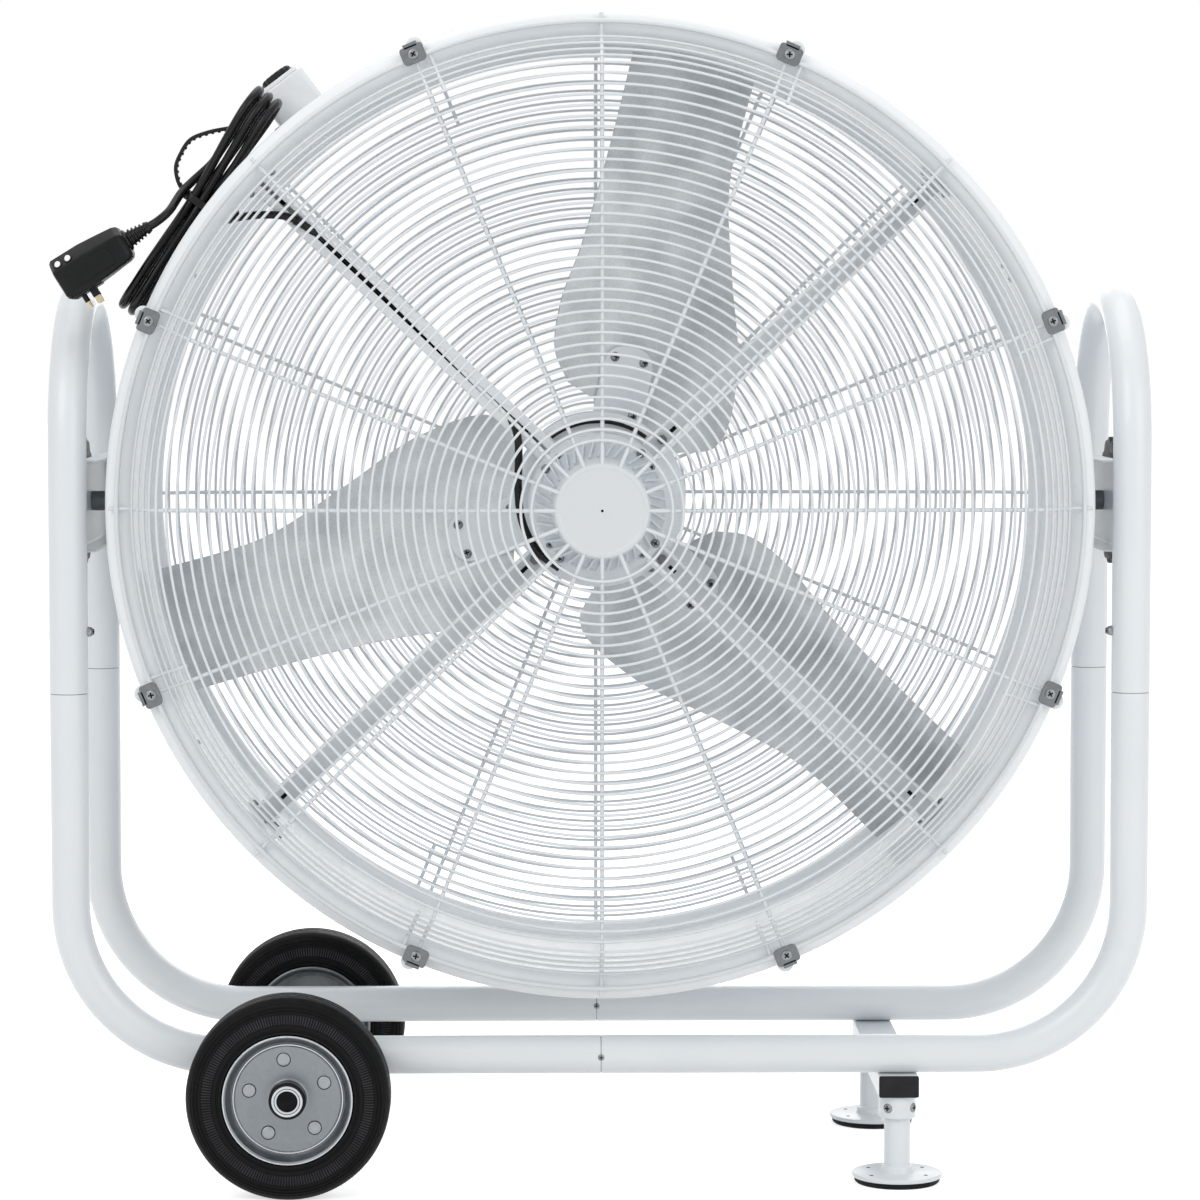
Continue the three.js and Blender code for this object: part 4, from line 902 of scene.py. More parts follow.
# The feet: a rectangular bar under both bottom tubes, with a collar, a screwed leg and a padded disc at
# each end.
foot = {
    "x": 296,
    "barHalfWidth": 20,
    "barTop": 110,
    "barBottom": 88,
    "barHalfLength": 168,
    "barSheet": 2,
    "collarRadius": 18.6,
    "collarLength": 22,
    "legRadius": 13,
    "discRadius": 45,
    "screws": (-36, 54),   # degrees round the collar from its front
    "screwZ": 76.5,
}
halfBar, barSheet = foot["barHalfWidth"], foot["barSheet"]
barLow, barHigh = foot["barBottom"], foot["barTop"]
inHalf, inHigh = halfBar - barSheet, barHigh - barSheet
barOutline = rounded([(-halfBar, barLow), (-inHalf, barLow), (-inHalf, inHigh), (inHalf, inHigh),
                      (inHalf, barLow), (halfBar, barLow), (halfBar, barHigh), (-halfBar, barHigh)],
                     [0.9, 0.2, 1, 1, 0.2, 0.9, 2.6, 2.6], 4)
alongY = Matrix(((1, 0, 0, foot["x"]), (0, 0, 1, 0), (0, 1, 0, 0), (0, 0, 0, 1)))
bar = [moved(prism(barOutline, -foot["barHalfLength"], foot["barHalfLength"]), alongY)]
# the bottom sheet, with a hole over each collar for the leg to slide through
reach = foot["barHalfLength"] - stand["tubeY"]
holeRadius = foot["legRadius"] + 0.4
hole = circle(holeRadius, 48)
square = []
for x, along in hole:
    grow = min((inHalf + 0.1) / max(abs(x), 1e-6), reach / max(abs(along), 1e-6))
    square.append((x * grow, along * grow))
for y in tubeRows:
    bar.append(moved(frameRing(square, hole, barLow, barLow + barSheet), at(foot["x"], y, 0)))
inward = stand["tubeY"] - reach
middleSheet = box(-inHalf - 0.1, inHalf + 0.1, -inward, inward, barLow, barLow + barSheet)
bar.append(moved(middleSheet, at(foot["x"], 0, 0)))
collarLow = barLow - foot["collarLength"]
collar = lathed(rounded4(holeRadius, foot["collarRadius"], collarLow, barLow + 0.3, 0.8, 3), 56)
collars = []
for y in tubeRows:
    collars.append(moved(collar, at(foot["x"], y, 0) @ spun(90, "X")))
    seam = [(foot["x"] - 17, y, barHigh + 0.2), (foot["x"] + 17, y, barHigh + 0.2)]
    collars.append(swept(seam, circle(1.5, 10), upHint=(0, 0, 1)))
    for degrees in foot["screws"]:
        if y > 0:
            degrees = 180 - degrees
        spot = at(foot["x"], y, foot["screwZ"]) @ spun(degrees, "Z")
        addScrew("frame", spot @ at(0, 0.5 - foot["collarRadius"], 0) @ spun(90, "X"), 5.0, 1.6)
piece("foot_bar", joined(*bar, *collars), powderWhite, "frame", ["foot_crossbar"], "white_powder_coat",
      bevel=0.3, sharp=50)
for faceName, face in frontAndRear:
    end = face * (foot["barHalfLength"] + 0.3)
    lidOutline = rounded4(0.2 - halfBar, halfBar - 0.2, barLow + 0.2, barHigh - 0.2, 2.2)
    lid = moved(prism(lidOutline, min(end, end + face * 3), max(end, end + face * 3)), alongY)
    piece(f"bar_end_cap_{faceName}", lid, capPlastic, "frame", [f"crossbar_cap_{faceName}"],
          "black_plastic", bevel=0.8)
    spot = at(foot["x"], face * stand["tubeY"], 0) @ spun(90, "X")
    leg = lathed(rounded([(0, 6), (foot["discRadius"], 6), (foot["discRadius"], 10), (17.2, 10), (16.6, 11),
                          (15.6, 17), (13.6, 17.6), (13, 18.4), (13, 84), (10.8, 84), (10.8, 17), (0, 17)],
                         [0, 0.8, 1.2, 0.8, 0.5, 0.8, 0.5, 0.4, 0.6, 0.4, 0.4, 0], 3), 72)
    piece(f"foot_leg_tube_{faceName}", moved(leg, spot), powderWhite, f"{faceName}_foot",
          [f"foot_leg_{faceName}"], "white_powder_coat", sharp=40)
    padOutline = [(0, 0), (40.6, 0), (42.4, 1.6), (43.4, 5.7), (0, 5.7)]
    pad = lathed(rounded(padOutline, [0, 0.8, 0.8, 0.4, 0], 3), 72)
    piece(f"foot_pad_ring_{faceName}", moved(pad, spot), footRubber, f"{faceName}_foot",
          [f"foot_pad_{faceName}"], "black_rubber", sharp=40)
    # four holes in the disc, drawn as dark patches on its face: painted shade
    hole = lathed([(0, 10.02), (2.1, 10.02), (2.1, 9.6), (0, 9.6)], 20)
    holeShades = [moved(hole, spot @ spun(angle, "Y") @ at(33, 0, 0)) for angle in (35, 145, 215, 325)]
    piece(f"foot_disc_hole_shades_{faceName}", joined(*holeShades), shadowSteel, f"{faceName}_foot")
print("feet made")
# The drum: a rolled sheet barrel whose edges curl outward into open beads.
shell = {
    "steps": 200,
    "beadSteps": 22,
    "curlEnd": 480,
}


def curl(radius, face, startAngle):
    steps, span = shell["beadSteps"], shell["curlEnd"] - startAngle
    angles = [math.radians(startAngle + span * i / steps) for i in range(steps + 1)]
    return [(barrel["radius"] + radius * math.sin(angle),
             face * (barrel["halfDepth"] + radius * math.cos(angle))) for angle in angles]


innerBead = barrel["beadRadius"] - barrel["sheet"]
wallStart = 180 - math.degrees(math.asin(barrel["sheet"] / innerBead))
shellOutline = (curl(barrel["beadRadius"], -1, 180) + curl(innerBead, -1, wallStart)[::-1]
                + curl(innerBead, 1, wallStart) + curl(barrel["beadRadius"], 1, 180)[::-1])
# the barrel wears the lighter copy of the coat: painted light against the shade inside it
piece("drum_barrel", moved(lathed(shellOutline, shell["steps"]), middleOfBarrel), powderPaintedLight, "drum",
      ["drum_shell"], "white_powder_coat", sharp=50)
# a rolled sheet closes with one welded lap along the bottom of the barrel
lap = moved(box(-9, 9, -150, 150, barrel["radius"] - 0.5, barrel["radius"] + 0.05), aroundBarrel(-97))
# the lap wears the same lighter coat, painted light
piece("drum_seam", lap, powderPaintedLight, "drum")

# The guards: welded rings over radial spokes, bent back at the rim and closed by a plain disc.
guardLook = {
    "ringWire": 1.45,        # wire radii
    "spokeWire": 2.0,
    "pitch": 10.4,
    "rimWire": 2.6,
    "spokes": 16,
    "steps": 168,
    "disc": 47,
    "shoulder": 432,
    "doubleLength": 62,
    "doubleGap": 15,
    "fronts": (236, 222),    # how far the middle and the shoulder stand from the barrel's middle
    "rears": (212, 200),
}
clip = {
    "count": 8,
    "start": 22.5,           # degrees round the barrel to the first one, and from each to the next
    "apart": 45,
    "halfLength": 12,
    "inner": 468.5,
    "outer": 486.5,
    "back": -185.2,
    "plate": 2.1,
    "screw": 5.2,
}


def guardLine(middle, shoulder):
    flange = barrel["guardFlange"]
    corners = [(482, flange), (462, flange), (guardLook["shoulder"], shoulder), (41, middle)]
    edge, bend, knee, end = [Vector((radius, along, 0)) for radius, along in corners]
    return [edge, bend.lerp(edge, 0.2), bend, bend.lerp(knee, 0.14), knee.lerp(bend, 0.2),
            knee.lerp(bend, 0.06), knee.lerp(end, 0.012), knee.lerp(end, 0.04), end]


def alongGuard(line, distance):
    for before, after in zip(line, line[1:]):
        span = (after - before).length
        if distance <= span:
            return before.lerp(after, distance / span)
        distance -= span
    return line[-1]


def ringAt(radius, along, wire):
    steps = guardLook["steps"] if radius > 200 else guardLook["steps"] // 2
    return lathed([(radius + x, along + y) for x, y in circle(wire, 8, math.pi / 8)], steps)


spokeSection = circle(guardLook["spokeWire"], 8)
for faceName, face, reaches in (("front", -1, guardLook["fronts"]), ("rear", 1, guardLook["rears"])):
    middle, shoulder = reaches
    line = guardLine(middle, shoulder)
    rings = [ringAt(barrel["radius"], barrel["guardFlange"], guardLook["rimWire"])]
    for i in range(int((lineLength(line) - 36) / guardLook["pitch"])):
        spot = alongGuard(line, 26 + i * guardLook["pitch"])
        if spot.x > guardLook["disc"] + 8:
            rings.append(ringAt(spot.x, spot.y + 1.2, guardLook["ringWire"]))
    wires = []
    behind = guardLook["spokeWire"] + guardLook["ringWire"] - 1.6
    spoke = swept([(0, point.y - behind, point.x) for point in line], spokeSection, upHint=(1, 0, 0))
    for i in range(guardLook["spokes"]):
        wires.append(moved(spoke, spun(i * 360 / guardLook["spokes"], "Y")))
    # a short second wire beside the spoke under each clip stiffens the bend
    path = [alongGuard(line, 9 + step * 6) for step in range(guardLook["doubleLength"] // 6 + 1)]
    double = [(face * guardLook["doubleGap"], point.y - behind, point.x) for point in path]
    double = swept(double, spokeSection, upHint=(1, 0, 0))
    for i in range(clip["count"]):
        wires.append(moved(double, spun(clip["start"] + i * clip["apart"], "Y")))
    facing = middleOfBarrel @ spun(0 if face > 0 else 180, "Z")
    piece(f"{faceName}_guard_wires", moved(joined(*rings, *wires), facing), powderWire, "drum",
          [f"{faceName}_guard"], "white_powder_coat", sharp=60)
    discOutline = [(0, -1.6), (43.5, -1.6), (46.8, -3.6), (47.2, -2.8), (45.2, 0.3), (42, 0.9), (40.5, 0.2),
                   (0, 0.2)]
    discOutline = [(radius, middle + along) for radius, along in discOutline]
    disc = lathed(rounded(discOutline, [0, 1, 0.4, 0.4, 1.2, 1.0, 1.2, 0], 4), 96)
    # the disc wears the greyer copy of the coat: painted shade
    piece(f"{faceName}_guard_disc", moved(disc, facing), powderDiscShaded, "drum", slot="white_powder_coat",
          sharp=50)
    dot = lathed([(0, middle + 0.35), (1.3, middle + 0.35), (1.6, middle - 0.2), (0, middle - 0.2)], 20)
    piece(f"{faceName}_guard_disc_dot", moved(dot, facing), shadowSteel, "drum")

# Eight clips hold the front guard: a small plate with round ends, a screw, and a white tab past the rim.
# a drawn plate stood up so that it faces the front
standing = Matrix(((1, 0, 0, 0), (0, 0, -1, 0), (0, 1, 0, 0), (0, 0, 0, 1)))
clipFront = clip["back"] - clip["plate"]
clipOutline = rounded4(-clip["halfLength"], clip["halfLength"], clip["inner"], clip["outer"],
                       [5.5, 5.5, 4, 4], 5)
clipPlate = moved(prism(clipOutline, -clip["back"], -clip["back"] + clip["plate"]), standing)
clipHook = box(-7, 7, clip["back"], -168, 487.2, 489)
clipBend = box(-7, 7, clipFront, clip["back"], 484, 489)
clipTab = lathed(rounded4(0, 8.2, -0.5, 0.9, [0, 0.5, 0.3, 0], 2), 32)
for i in range(clip["count"]):
    around = aroundBarrel(clip["start"] + i * clip["apart"])
    piece(f"clip_plate_{i + 1}", moved(joined(clipPlate, clipBend, clipHook), around), clipSteel, "drum",
          [f"guard_clip_{i + 1}"], "zinc_steel", bevel=0.5)
    screwAxes = around @ at(0, clipFront, (clip["inner"] + clip["outer"]) / 2) @ spun(90, "X")
    # no two screws stop at the same turn
    addScrew("drum", screwAxes @ spun(20 * i, "Z"), clip["screw"], 1.7)
    piece(f"clip_tab_{i + 1}", moved(clipTab, around @ at(4.5, clip["back"] + 1.2, 485)), powderWhite,
          "drum")
print("barrel and guards made")
# The motor: a white cast case carried by four pressed channels, its cable tied along the upper left one.
motor = {
    "radius": 71,
    "rear": 14.3,
    "flange": 90,
    "blackBandRadius": 80.5,
    "fins": 40,
    "finSlant": 24,
    "strutAngles": (43.3, 136.7, 223.3, 316.7),
    "strutWidth": 20,
    "strutFront": -6,
    "strutBack": 14,
    "sheet": 2,
    "lips": (1.4, 7.6, 1.4, 1.4),   # how far each channel's edges fold in; more where they hold the cable
    "slots": (100, 440),
}
caseOutline = rounded([(0, -129), (66, -129), (motor["radius"], -124), (motor["radius"], 8),
                       (motor["flange"], motor["rear"]), (motor["flange"], motor["rear"] + 6),
                       (40, motor["rear"] + 6), (34, 22.3), (10, 22.3), (0, 22.3)],
                      [0, 2, 3, 6, 1.5, 1.2, 3, 1.5, 0.5, 0], 4)
lines = [lathed(rounded4(motor["radius"] - 0.5, motor["radius"] + 0.9, y, y + 2.2, 0.5, 2), 96)
         for y in (-118, -6)]
piece("motor_case", moved(joined(lathed(caseOutline, 112), *lines), middleOfBarrel), powderWhite, "drum",
      ["motor_housing"], "white_powder_coat", sharp=38)
bellOutline = rounded([(0, -131), (0, -150), (38, -150), (46, -147), (52, -142), (61, -133), (62.8, -130.4),
                       (40, -130.4)], [0, 0, 3, 4, 3, 2, 0.6, 0], 4)
fin = box(-0.9, 0.9, -1.6, 3.4, -11, 9)
finPlace = at(0, -140.4, 57.5) @ spun(motor["finSlant"], "Y") @ spun(-38, "X")
fins = [moved(fin, spun(i * 360 / motor["fins"], "Y") @ finPlace) for i in range(motor["fins"])]
piece("motor_bell", moved(joined(lathed(bellOutline, 96), *fins), middleOfBarrel), powderWhite, "drum",
      ["motor_front_bell"], "white_powder_coat", sharp=38)
for degrees in motor["strutAngles"]:
    # a screw holds the bell to the case near each channel
    addScrew("drum", aroundBarrel(degrees + 9) @ at(0, -131.4, 66) @ spun(90, "X"), 4.4, 3.2)
    addScrew("drum", aroundBarrel(degrees - 6) @ at(0, -129.4, 64) @ spun(90, "X"), 3.4, 2.2)

# a black band is drawn between the case and its flange over the top of the motor
blackBandPath = [aroundBarrel(degrees) @ Vector((0, 5, motor["blackBandRadius"])) for degrees in range(53, 128, 2)]
piece("motor_black_band", swept(blackBandPath, circle(2.1, 10), upHint=(0, 1, 0)), cordSheath, "drum")

half, web = motor["strutWidth"] / 2 + 2, motor["strutBack"] - motor["sheet"]
inHalf, front, lipBack = half - motor["sheet"], motor["strutFront"], motor["strutFront"] + motor["sheet"]
flangePlate = prism(rounded4(-20, 20, -12, 20, 3), barrel["radius"] - 3.4, barrel["radius"] - 0.6)
stampedSlotShades = joined(*[box(-2, 2, web - 0.3, web - 0.05, low, low + 9) for low in motor["slots"]])
places = ("upper_right", "upper_left", "lower_left", "lower_right")
for place, degrees, lip in zip(places, motor["strutAngles"], motor["lips"]):
    around = aroundBarrel(degrees)
    gap = inHalf - lip
    section = rounded([(-half, front), (-gap, front), (-gap, lipBack), (-inHalf, lipBack), (-inHalf, web),
                       (inHalf, web), (inHalf, lipBack), (gap, lipBack), (gap, front), (half, front),
                       (half, motor["strutBack"]), (-half, motor["strutBack"])],
                      [2.4, 0.5, 0.5, 0.8, 0.8, 0.8, 0.8, 0.5, 0.5, 2.4, 2.4, 2.4], 3)
    channelShape = prism(section, motor["radius"] + 2, barrel["radius"] - 0.5)
    # the channels wear the lighter copy of the coat: painted light against the shade in their hollows
    piece(f"motor_arm_{place}", moved(joined(channelShape, flangePlate), around), powderPaintedLight, "drum",
          [f"motor_strut_{place}"], "white_powder_coat", bevel=0.35, sharp=40)
    for side in (-1, 1):
        addScrew("drum", around @ at(side * 15.6, 4, barrel["radius"] - 3.6) @ spun(180, "X"), 3.6, 2.0)
    # stamped slots in the channel's floor, drawn as dark patches: painted shade in the openings; and a bolt
    # head near the motor
    piece(f"motor_arm_slot_shades_{place}", moved(stampedSlotShades, around), shadowSteel, "drum")
    bolt = moved(prism(circle(5.2, 6), 0, 4.2), around @ at(0, web, 90) @ spun(90, "X"))
    piece(f"motor_arm_bolt_{place}", bolt, clipSteel, "drum", bevel=0.4)

# The motor cable: from a grommet in the wall, along the upper left channel, round the case to the flange.
cableStops = [(468, 142.1, -14), (450, 139.8, -15), (428, 137.6, -13), (405, 136.8, -6), (382, 136.7, 2),
              (358, 136.7, 5.95), (333, 136.7, 7.45), (300, 136.7, 7.45), (260, 136.7, 7.45),
              (220, 136.7, 7.45), (178, 136.7, 7.45), (155, 136.7, 5.95), (134, 136.8, 1.5), (117, 138, -6),
              (103, 143, -14), (91, 154, -16), (83, 172, -14), (81, 195, -13), (81, 220, -13),
              (80, 240, -13)]
cableStops = [aroundBarrel(degrees) @ Vector((0, y, radius)) for radius, degrees, y in cableStops]
cableLine = curveThrough(cableStops, 4)
piece("motor_cable_sheath", swept(cableLine, circle(4.1, 14), upHint=(0, 1, 0)), cordSheath, "drum",
      ["motor_cable"], "black_plastic", sharp=60)
grommet = lathed(rounded([(4.2, 0), (9.5, 0), (9.5, 3), (7.4, 6.5), (4.2, 6.5)], 1.2, 3), 32)
piece("motor_cable_grommet", moved(grommet, aroundBarrel(142.1) @ at(0, -14, 474.2) @ spun(-90, "X")),
      blackPlastic, "drum")
tieBand = lathed(rounded4(4.1, 5.0, -1.8, 1.8, 0.3, 2), 24)
outward = [(point - middleOfBarrel.translation).length for point in cableLine]
ties = []
for distance in (420, 250, 140):
    spot = min(range(1, len(cableLine) - 1), key=lambda k: abs(outward[k] - distance))
    along = (cableLine[spot + 1] - cableLine[spot - 1]).to_track_quat("Y", "X").to_matrix().to_4x4()
    ties.append(moved(tieBand, at(*cableLine[spot]) @ along))
piece("motor_cable_ties", joined(*ties), tieNylon, "drum")

# Rivets and slots in the barrel's wall where the brackets outside it are fixed.
wallMarks = {
    "rivets": (132.7, 134.5, 149.8, 151.9, 30.2, 28.3, 151.0, 208.8, 210.9),
    "rivetY": (-28, -46, -28, -46, -28, -28, 40, -28, -46),
    "rivetRadius": 3.4,
    "slots": (126.4, 137.2, 141.4, 223.9, 226.5),
    "slotY": -26,
}
rivet = lathed([(0, -1.5), (2.0, -1.2), (wallMarks["rivetRadius"], 0.1), (wallMarks["rivetRadius"], 0.6),
                (0, 0.6)], 18)
rivets = [moved(rivet, aroundBarrel(degrees) @ at(0, y, barrel["radius"] - 0.1) @ spun(90, "X"))
          for degrees, y in zip(wallMarks["rivets"], wallMarks["rivetY"])]
piece("wall_rivets", joined(*rivets), zincBrightAndHighlight, "drum")
# each slot is a thin dark plate on the wall: painted shade in the opening
wallSlotShade = box(-1.6, 1.6, wallMarks["slotY"] - 7, wallMarks["slotY"] + 7, barrel["radius"] - 0.25,
               barrel["radius"] + 0.1)
piece("wall_slot_shades", joined(*[moved(wallSlotShade, aroundBarrel(degrees)) for degrees in wallMarks["slots"]]),
      shadowSteel, "drum")
print("motor made")
# The rotor: a pressed spider with three arms and a wide twisted blade bolted behind each.
rotor = {
    "blades": (78.6, 198.6, 318.6),
    "pitch": (25, 18),         # degrees at the root and at the tip
    "twist": (170, 464),
    "tip": 464,
    "plane": 56,
    "sheet": 2.5,
    "offset": 4.05,            # the blade lies this far behind the arms' middle
    "armWidth": 56,
    "armThick": 5,
    "bolts": ((147, -14), (146.5, 20), (89.5, 19)),   # outward, sideways
}
bladeLead = [(-52, 112), (-72, 142), (-76, 191), (-67, 250), (-59, 345), (-53, 460.96)]
bladeTrail = [(72, 60), (115, 76), (121, 155), (95, 250), (72, 345), (76, 457.7)]


# where a point of the flat blade goes once the sheet is pitched and twisted
def onBlade(across, outward, behind):
    share = min(1, max(0, (outward - rotor["twist"][0]) / (rotor["twist"][1] - rotor["twist"][0])))
    share = share * share * (3 - 2 * share)
    pitch = math.radians(rotor["pitch"][0] + (rotor["pitch"][1] - rotor["pitch"][0]) * share)
    back = rotor["plane"] + across * math.tan(pitch) + behind * math.cos(pitch)
    return Vector((across - behind * math.sin(pitch), back, outward))


leadLine = curveThrough([Vector((x, z, 0)) for x, z in bladeLead], 6)
trailLine = curveThrough([Vector((x, z, 0)) for x, z in bladeTrail], 6)
rows, columns, tipRows = 60, 22, 12
grid = []
for row in range(rows + 1):
    lead = leadLine[round(row / rows * (len(leadLine) - 1))]
    trail = trailLine[round(row / rows * (len(trailLine) - 1))]
    line = []
    for column in range(columns + 1):
        flat = lead.lerp(trail, column / columns)
        # the last rows swell outward until the tip lies on one circle
        if row > rows - tipRows:
            bulge = (row - rows + tipRows) / tipRows
            reach = math.sqrt(max(1, rotor["tip"] ** 2 - flat.x ** 2))
            flat = Vector((flat.x, flat.y + (reach - flat.y) * bulge ** 3, 0))
        line.append(flat)
    grid.append(line)
bladePoints, bladeFaces = [], []
for side, depth in ((0, rotor["offset"] - rotor["sheet"] / 2), (1, rotor["offset"] + rotor["sheet"] / 2)):
    for line in grid:
        for column, flat in enumerate(line):
            # the sheet is rolled a little forward in a stiffening crease behind its leading edge
            crease = 1.6 * math.exp(-((column / columns - 0.11) / 0.035) ** 2) if flat.y > 150 else 0
            bladePoints.append(onBlade(flat.x, flat.y, depth - crease))
width = columns + 1
height = (rows + 1) * width
for row in range(rows):
    for column in range(columns):
        corner = row * width + column
        bladeFaces.append([corner, corner + 1, corner + width + 1, corner + width])
        bladeFaces.append([height + corner, height + corner + width, height + corner + width + 1,
                           height + corner + 1])
border = ([(0, column) for column in range(columns)] + [(row, columns) for row in range(rows)]
          + [(rows, column) for column in range(columns, 0, -1)] + [(row, 0) for row in range(rows, 0, -1)])
for i, (row, column) in enumerate(border):
    nextRow, nextColumn = border[(i + 1) % len(border)]
    here, after = row * width + column, nextRow * width + nextColumn
    bladeFaces.append([here, height + here, height + after, after])
for number, degrees in enumerate(rotor["blades"]):
    piece(f"rotor_blade_{number + 1}", moved((bladePoints, bladeFaces), aroundBarrel(degrees)), bladeSheet,
          "rotor", [f"fan_blade_{number + 1}"], "blade_sheet", sharp=45)

# arms: a flat bar with round ends, pitched like the blade's root, growing out of the flange
armShapes = []
half = rotor["armWidth"] / 2
armOutline = rounded4(4 - half, 4 + half, 26, 160, [2, 2, 26, 26], 9)
arm = moved(prism(armOutline, -rotor["armThick"] / 2, rotor["armThick"] / 2), standing)
for degrees in rotor["blades"]:
    armTurn = aroundBarrel(degrees) @ at(0, rotor["plane"], 0) @ spun(rotor["pitch"][0], "Z")
    armShapes.append(moved(arm, armTurn))
    for outward, across in rotor["bolts"]:
        boltAxes = armTurn @ at(across, -rotor["armThick"] / 2, outward) @ spun(90, "X")
        addScrew("rotor", boltAxes, 5.0, 3.4)
flange = lathed(rounded([(8, 53), (45, 53), (45, 59), (20, 59.2), (20, 65.5), (9.6, 65.5), (9.6, 25),
                         (20, 25), (20, 52.8)], [0.5, 1.2, 1.2, 0.6, 1, 0.5, 0.5, 1, 0.6], 3), 80)
piece("rotor_spider", joined(moved(flange, middleOfBarrel), *armShapes), powderWhite, "rotor",
      ["hub_spider"], "white_powder_coat", bevel=0.5, sharp=42)
shaft = lathed(rounded([(0, -8), (9.4, -8), (9.4, 66), (0, 66)], [0, 0.6, 0.8, 0], 3), 40)
piece("rotor_shaft", moved(shaft, middleOfBarrel), zincBrightAndHighlight, "rotor", ["motor_shaft"], "zinc_steel",
      sharp=50)
print("rotor made")
# The switch box on the barrel's shoulder, with its round speed knob, and the cord's gland below it.
switchLook = {
    "width": 54,
    "length": 80,
    "middleY": -28,
    "low": 476.2,
    "top": 528.7,
    "lidTop": 533.5,
    "knobRadius": 17,
    "knobTop": 541.8,
    "knobRibs": 14,
}
switchTurn = aroundBarrel(switchPlace["angle"])
halfWidth, halfLength, middleY = switchLook["width"] / 2, switchLook["length"] / 2, switchLook["middleY"]
boxCorners = [(-halfWidth, middleY - halfLength), (halfWidth, middleY - halfLength),
              (halfWidth, middleY + halfLength), (-halfWidth, middleY + halfLength)]
case = prism(rounded(boxCorners, 7, 6), switchLook["low"], switchLook["top"])
piece("switch_case", moved(case, switchTurn), boxPlastic, "drum", ["switch_box"], "white_plastic", bevel=2.2,
      bevelSteps=4)
lidCorners = [(x * 44 / 54, middleY + (y - middleY) * 70 / 80) for x, y in boxCorners]
cover = prism(rounded(lidCorners, 5, 6), switchLook["top"] + 0.2, switchLook["lidTop"] - 0.1)
piece("switch_cover", moved(cover, switchTurn), boxPlastic, "drum", ["switch_lid"], "white_plastic",
      bevel=1.4, bevelSteps=3)
# a dark band just under the cover's edge: painted shade in the thin gap between cover and case
coverShadeCorners = [(x * 0.965, middleY + (y - middleY) * 0.97) for x, y in lidCorners]
gap = prism(rounded(coverShadeCorners, 4, 5), switchLook["top"] - 0.3, switchLook["top"] + 0.5)
piece("switch_cover_gap_shade", moved(gap, switchTurn), shadowSteel, "drum")
for x, y in ((-17, -57), (17, -57), (-17, 1), (17, 1)):
    addScrew("drum", switchTurn @ at(x, y, switchLook["lidTop"] - 0.2), 2.6, 1.1)


# a moulded wheel with rounded ribs round its edge, lying flat with z upward
def ribbedWheel(radius, depth, ribs, low, high, crown):
    steps = ribs * 10
    angles = [step / steps * turn for step in range(steps)]
    ribbed = [radius - depth * (0.5 - 0.5 * math.cos(angle * ribs)) ** 1.4 for angle in angles]
    inner = radius - depth - 7
    levels = [([reach + grow for reach in ribbed], along) for along, grow in (
        (low, -1.2), (low + 1.0, 0), (high - 2.6, 0), (high - 0.9, -1.0), (high - 0.1, -2.8))]
    levels += [([inner * share] * steps, along) for along, share in (
        (high - 0.1, 1.0), (high - crown, 0.92), (high - crown, 0.5))]
    points = [Vector((reach * math.cos(angle), reach * math.sin(angle), along))
              for reaches, along in levels for angle, reach in zip(angles, reaches)]
    return points, stitched(len(levels), steps)


knobTurn = switchTurn @ at(0, middleY, 0)
knob = ribbedWheel(switchLook["knobRadius"], 1.3, switchLook["knobRibs"], switchLook["lidTop"] + 0.4,
                   switchLook["knobTop"] - 0.1, 0.9)
piece("speed_knob_cap", moved(knob, knobTurn), blackPlastic, "speed_knob", ["speed_knob"], "black_plastic",
      sharp=40)
pointer = box(-0.8, 0.8, 3, 13.5, switchLook["knobTop"] - 1.2, switchLook["knobTop"] - 0.15)
piece("speed_knob_line", moved(pointer, knobTurn), whiteButton, "speed_knob")

glandPoints = [(9.9, -27.3), (9.9, -33.5), (8.0, -34.0), (8.0, -35.2), (7.2, -36), (7.4, -38), (6.3, -38.4),
               (6.5, -40.6), (5.9, -41), (6.0, -43.2), (5.5, -43.6), (5.5, -46.8), (4.4, -46.8),
               (4.4, -27.3)]
glandShape = moved(lathed([(radius, -along) for radius, along in glandPoints], 40), spun(90, "Z"))
nutShape = moved(prism(circle(11.4, 6, turn / 12), 27.2, 32.6), spun(-90, "Y"))
glandPlace = switchTurn @ at(0, switchPlace["glandY"], switchPlace["glandN"])
piece("gland_relief", moved(joined(glandShape, nutShape), glandPlace), blackPlastic, "drum", ["cord_gland"],
      "black_plastic", bevel=0.4, sharp=45)
print("switch box made")

# The pivots: a stud through each arch's channel, and a big ribbed handwheel that locks the tilt.
pivot = {
    "foot": 475.4,
    "baseRadius": 22,
    "shoulder": 480.2,
    "shoulderEnd": 517.7,
    "shankEnd": 545.9,
    "wheelRadius": 65,
    "wheelInner": 523.1,
    "wheelOuter": 546.9,
    "wheelRibs": 16,
}
studOutline = rounded([(0, pivot["foot"]), (pivot["baseRadius"], pivot["foot"]),
                       (pivot["baseRadius"], pivot["shoulder"]), (10, pivot["shoulder"]),
                       (10, pivot["shoulderEnd"]), (6.5, pivot["shoulderEnd"]), (6.5, pivot["shankEnd"]),
                       (0, pivot["shankEnd"])], [0, 0.6, 0.8, 1, 0.6, 0.3, 0.8, 0], 3)
stud = moved(lathed(studOutline, 48), spun(90, "X"))
handle = ribbedWheel(pivot["wheelRadius"], 4.2, pivot["wheelRibs"], pivot["wheelInner"],
                     pivot["wheelOuter"], 7)
boss = moved(lathed(rounded4(6.7, 20, 521.4, 523.5, 0.5, 2), 48), spun(90, "X"))
capOutline = rounded([(0, 537), (22, 537), (22, 544.6), (15, 546.6), (0, 546.6)], [0, 1, 2, 3, 0], 4)
cap = moved(lathed(capOutline, 48), spun(90, "X"))
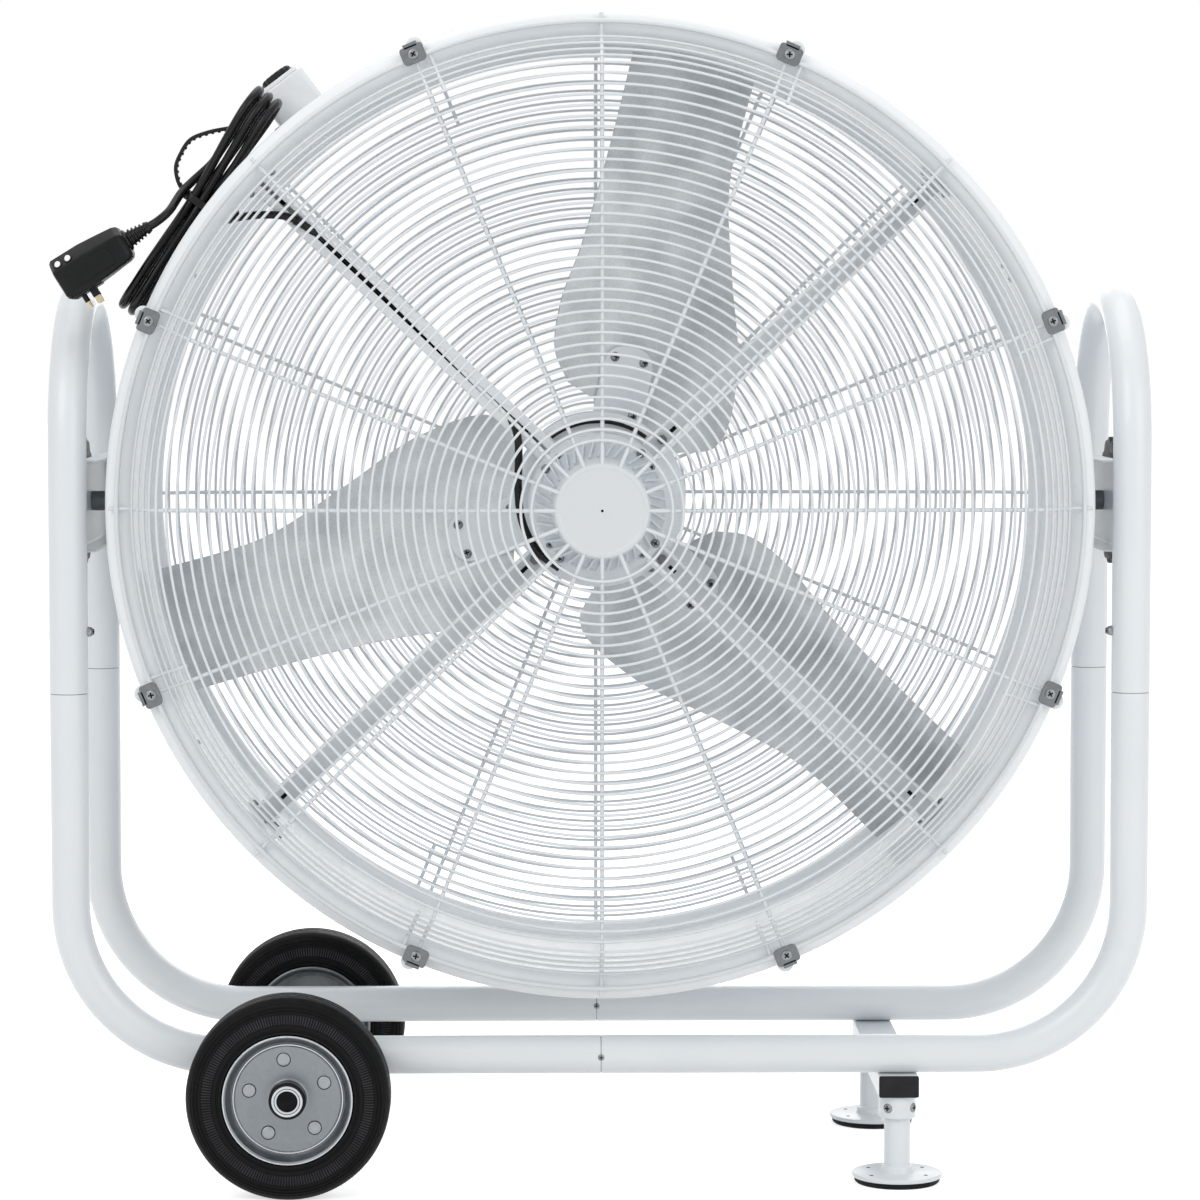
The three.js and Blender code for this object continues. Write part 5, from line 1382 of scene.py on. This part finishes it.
for sideName, side in leftAndRight:
    outward = middleOfBarrel @ spun(side * 90, "Y")
    piece(f"pivot_pin_{sideName}", moved(stud, outward), zincSteel, "drum", [f"pivot_stud_{sideName}"],
          "zinc_steel", sharp=40)
    piece(f"tilt_handwheel_{sideName}", moved(joined(handle, boss, cap), outward), blackPlastic,
          f"tilt_knob_{sideName}", [f"tilt_knob_{sideName}"], "black_plastic", sharp=40)
print("pivots made")
# every screw head and its cross recess, one piece for each body that carries them; the dark crosses are
# painted shade in the recesses
for body, heads in screwHeads.items():
    piece(f"screw_heads_{body}", joined(*heads), screwSteel, body, sharp=40)
    piece(f"screw_cross_shades_{body}", joined(*screwCrossShades[body]), shadowSteel, body)
print("screws made")

# The room: a pale floor that keeps the shadow, a white background, and soft lamps from the front.
room = {
    "world": 0.62,
    "key": (-2.2, -3.2, 3.0, 47, 2.6),     # x, y, z, watts, size
    "fill": (2.6, -2.8, 1.8, 30, 2.4),
    "top": (0.0, 0.4, 3.6, 26, 2.6),
    "rim": (0.6, 2.6, 1.6, 20, 2.0),
}
world = bpy.data.worlds.new("studio")
bpy.context.scene.world = world
world.use_nodes = True
world.node_tree.nodes.clear()
rays = addNode(world, "ShaderNodeLightPath")
seenOrGlossy = addNode(world, "ShaderNodeMath", {"operation": "MAXIMUM"}, n0=rays.outputs["Is Camera Ray"],
                       n1=rays.outputs["Is Glossy Ray"])
backdrop = addNode(world, "ShaderNodeMath", {"operation": "MAXIMUM"}, n0=seenOrGlossy.outputs[0],
                   n1=rays.outputs["Is Transmission Ray"])
level = addNode(world, "ShaderNodeMapRange", n0=backdrop.outputs[0], n3=room["world"], n4=1.0)
glow = addNode(world, "ShaderNodeBackground", Color=paint("#FFFFFF"), Strength=level.outputs[0])
addNode(world, "ShaderNodeOutputWorld", Surface=glow.outputs[0])

for lampName in ("key", "fill", "top", "rim"):
    x, y, z, watts, size = room[lampName]
    lampData = bpy.data.lights.new(lampName, "AREA")
    lampData.energy = watts
    lampData.size = size
    lamp = bpy.data.objects.new(lampName, lampData)
    lamp.location = (x, y, z)
    lamp.rotation_euler = (Vector((0, 0, 0.55)) - lamp.location).to_track_quat("-Z", "Y").to_euler()
    bpy.context.scene.collection.objects.link(lamp)

# painted white to the camera where no shadow falls; the shadow darkens it
floorPaint = newMaterial("floor, matt pale paint")
paintShader = addNode(floorPaint, "ShaderNodeBsdfDiffuse", Color=paint("#F4F4F4"))
whiteGlow = addNode(floorPaint, "ShaderNodeEmission", Color=paint("#FFFFFF"), Strength=0.62)
cameraRay = addNode(floorPaint, "ShaderNodeLightPath")
shine = addNode(floorPaint, "ShaderNodeMath", {"operation": "MAXIMUM"},
                n0=cameraRay.outputs["Is Camera Ray"], n1=cameraRay.outputs["Is Glossy Ray"])
both = addNode(floorPaint, "ShaderNodeAddShader", n0=paintShader.outputs[0], n1=whiteGlow.outputs[0])
shown = addNode(floorPaint, "ShaderNodeMixShader", n0=shine.outputs[0], n1=paintShader.outputs[0],
                n2=both.outputs[0])
addNode(floorPaint, "ShaderNodeOutputMaterial", Surface=shown.outputs[0])
floorMesh = bpy.data.meshes.new("floor")
floorMesh.from_pydata([(-30, -30, 0), (30, -30, 0), (30, 30, 0), (-30, 30, 0)], [], [(0, 1, 2, 3)])
floorMesh.materials.append(floorPaint)
floor = bpy.data.objects.new("floor", floorMesh)
bpy.context.scene.collection.objects.link(floor)
bpy.context.scene.view_settings.view_transform = "Standard"
print("room made")
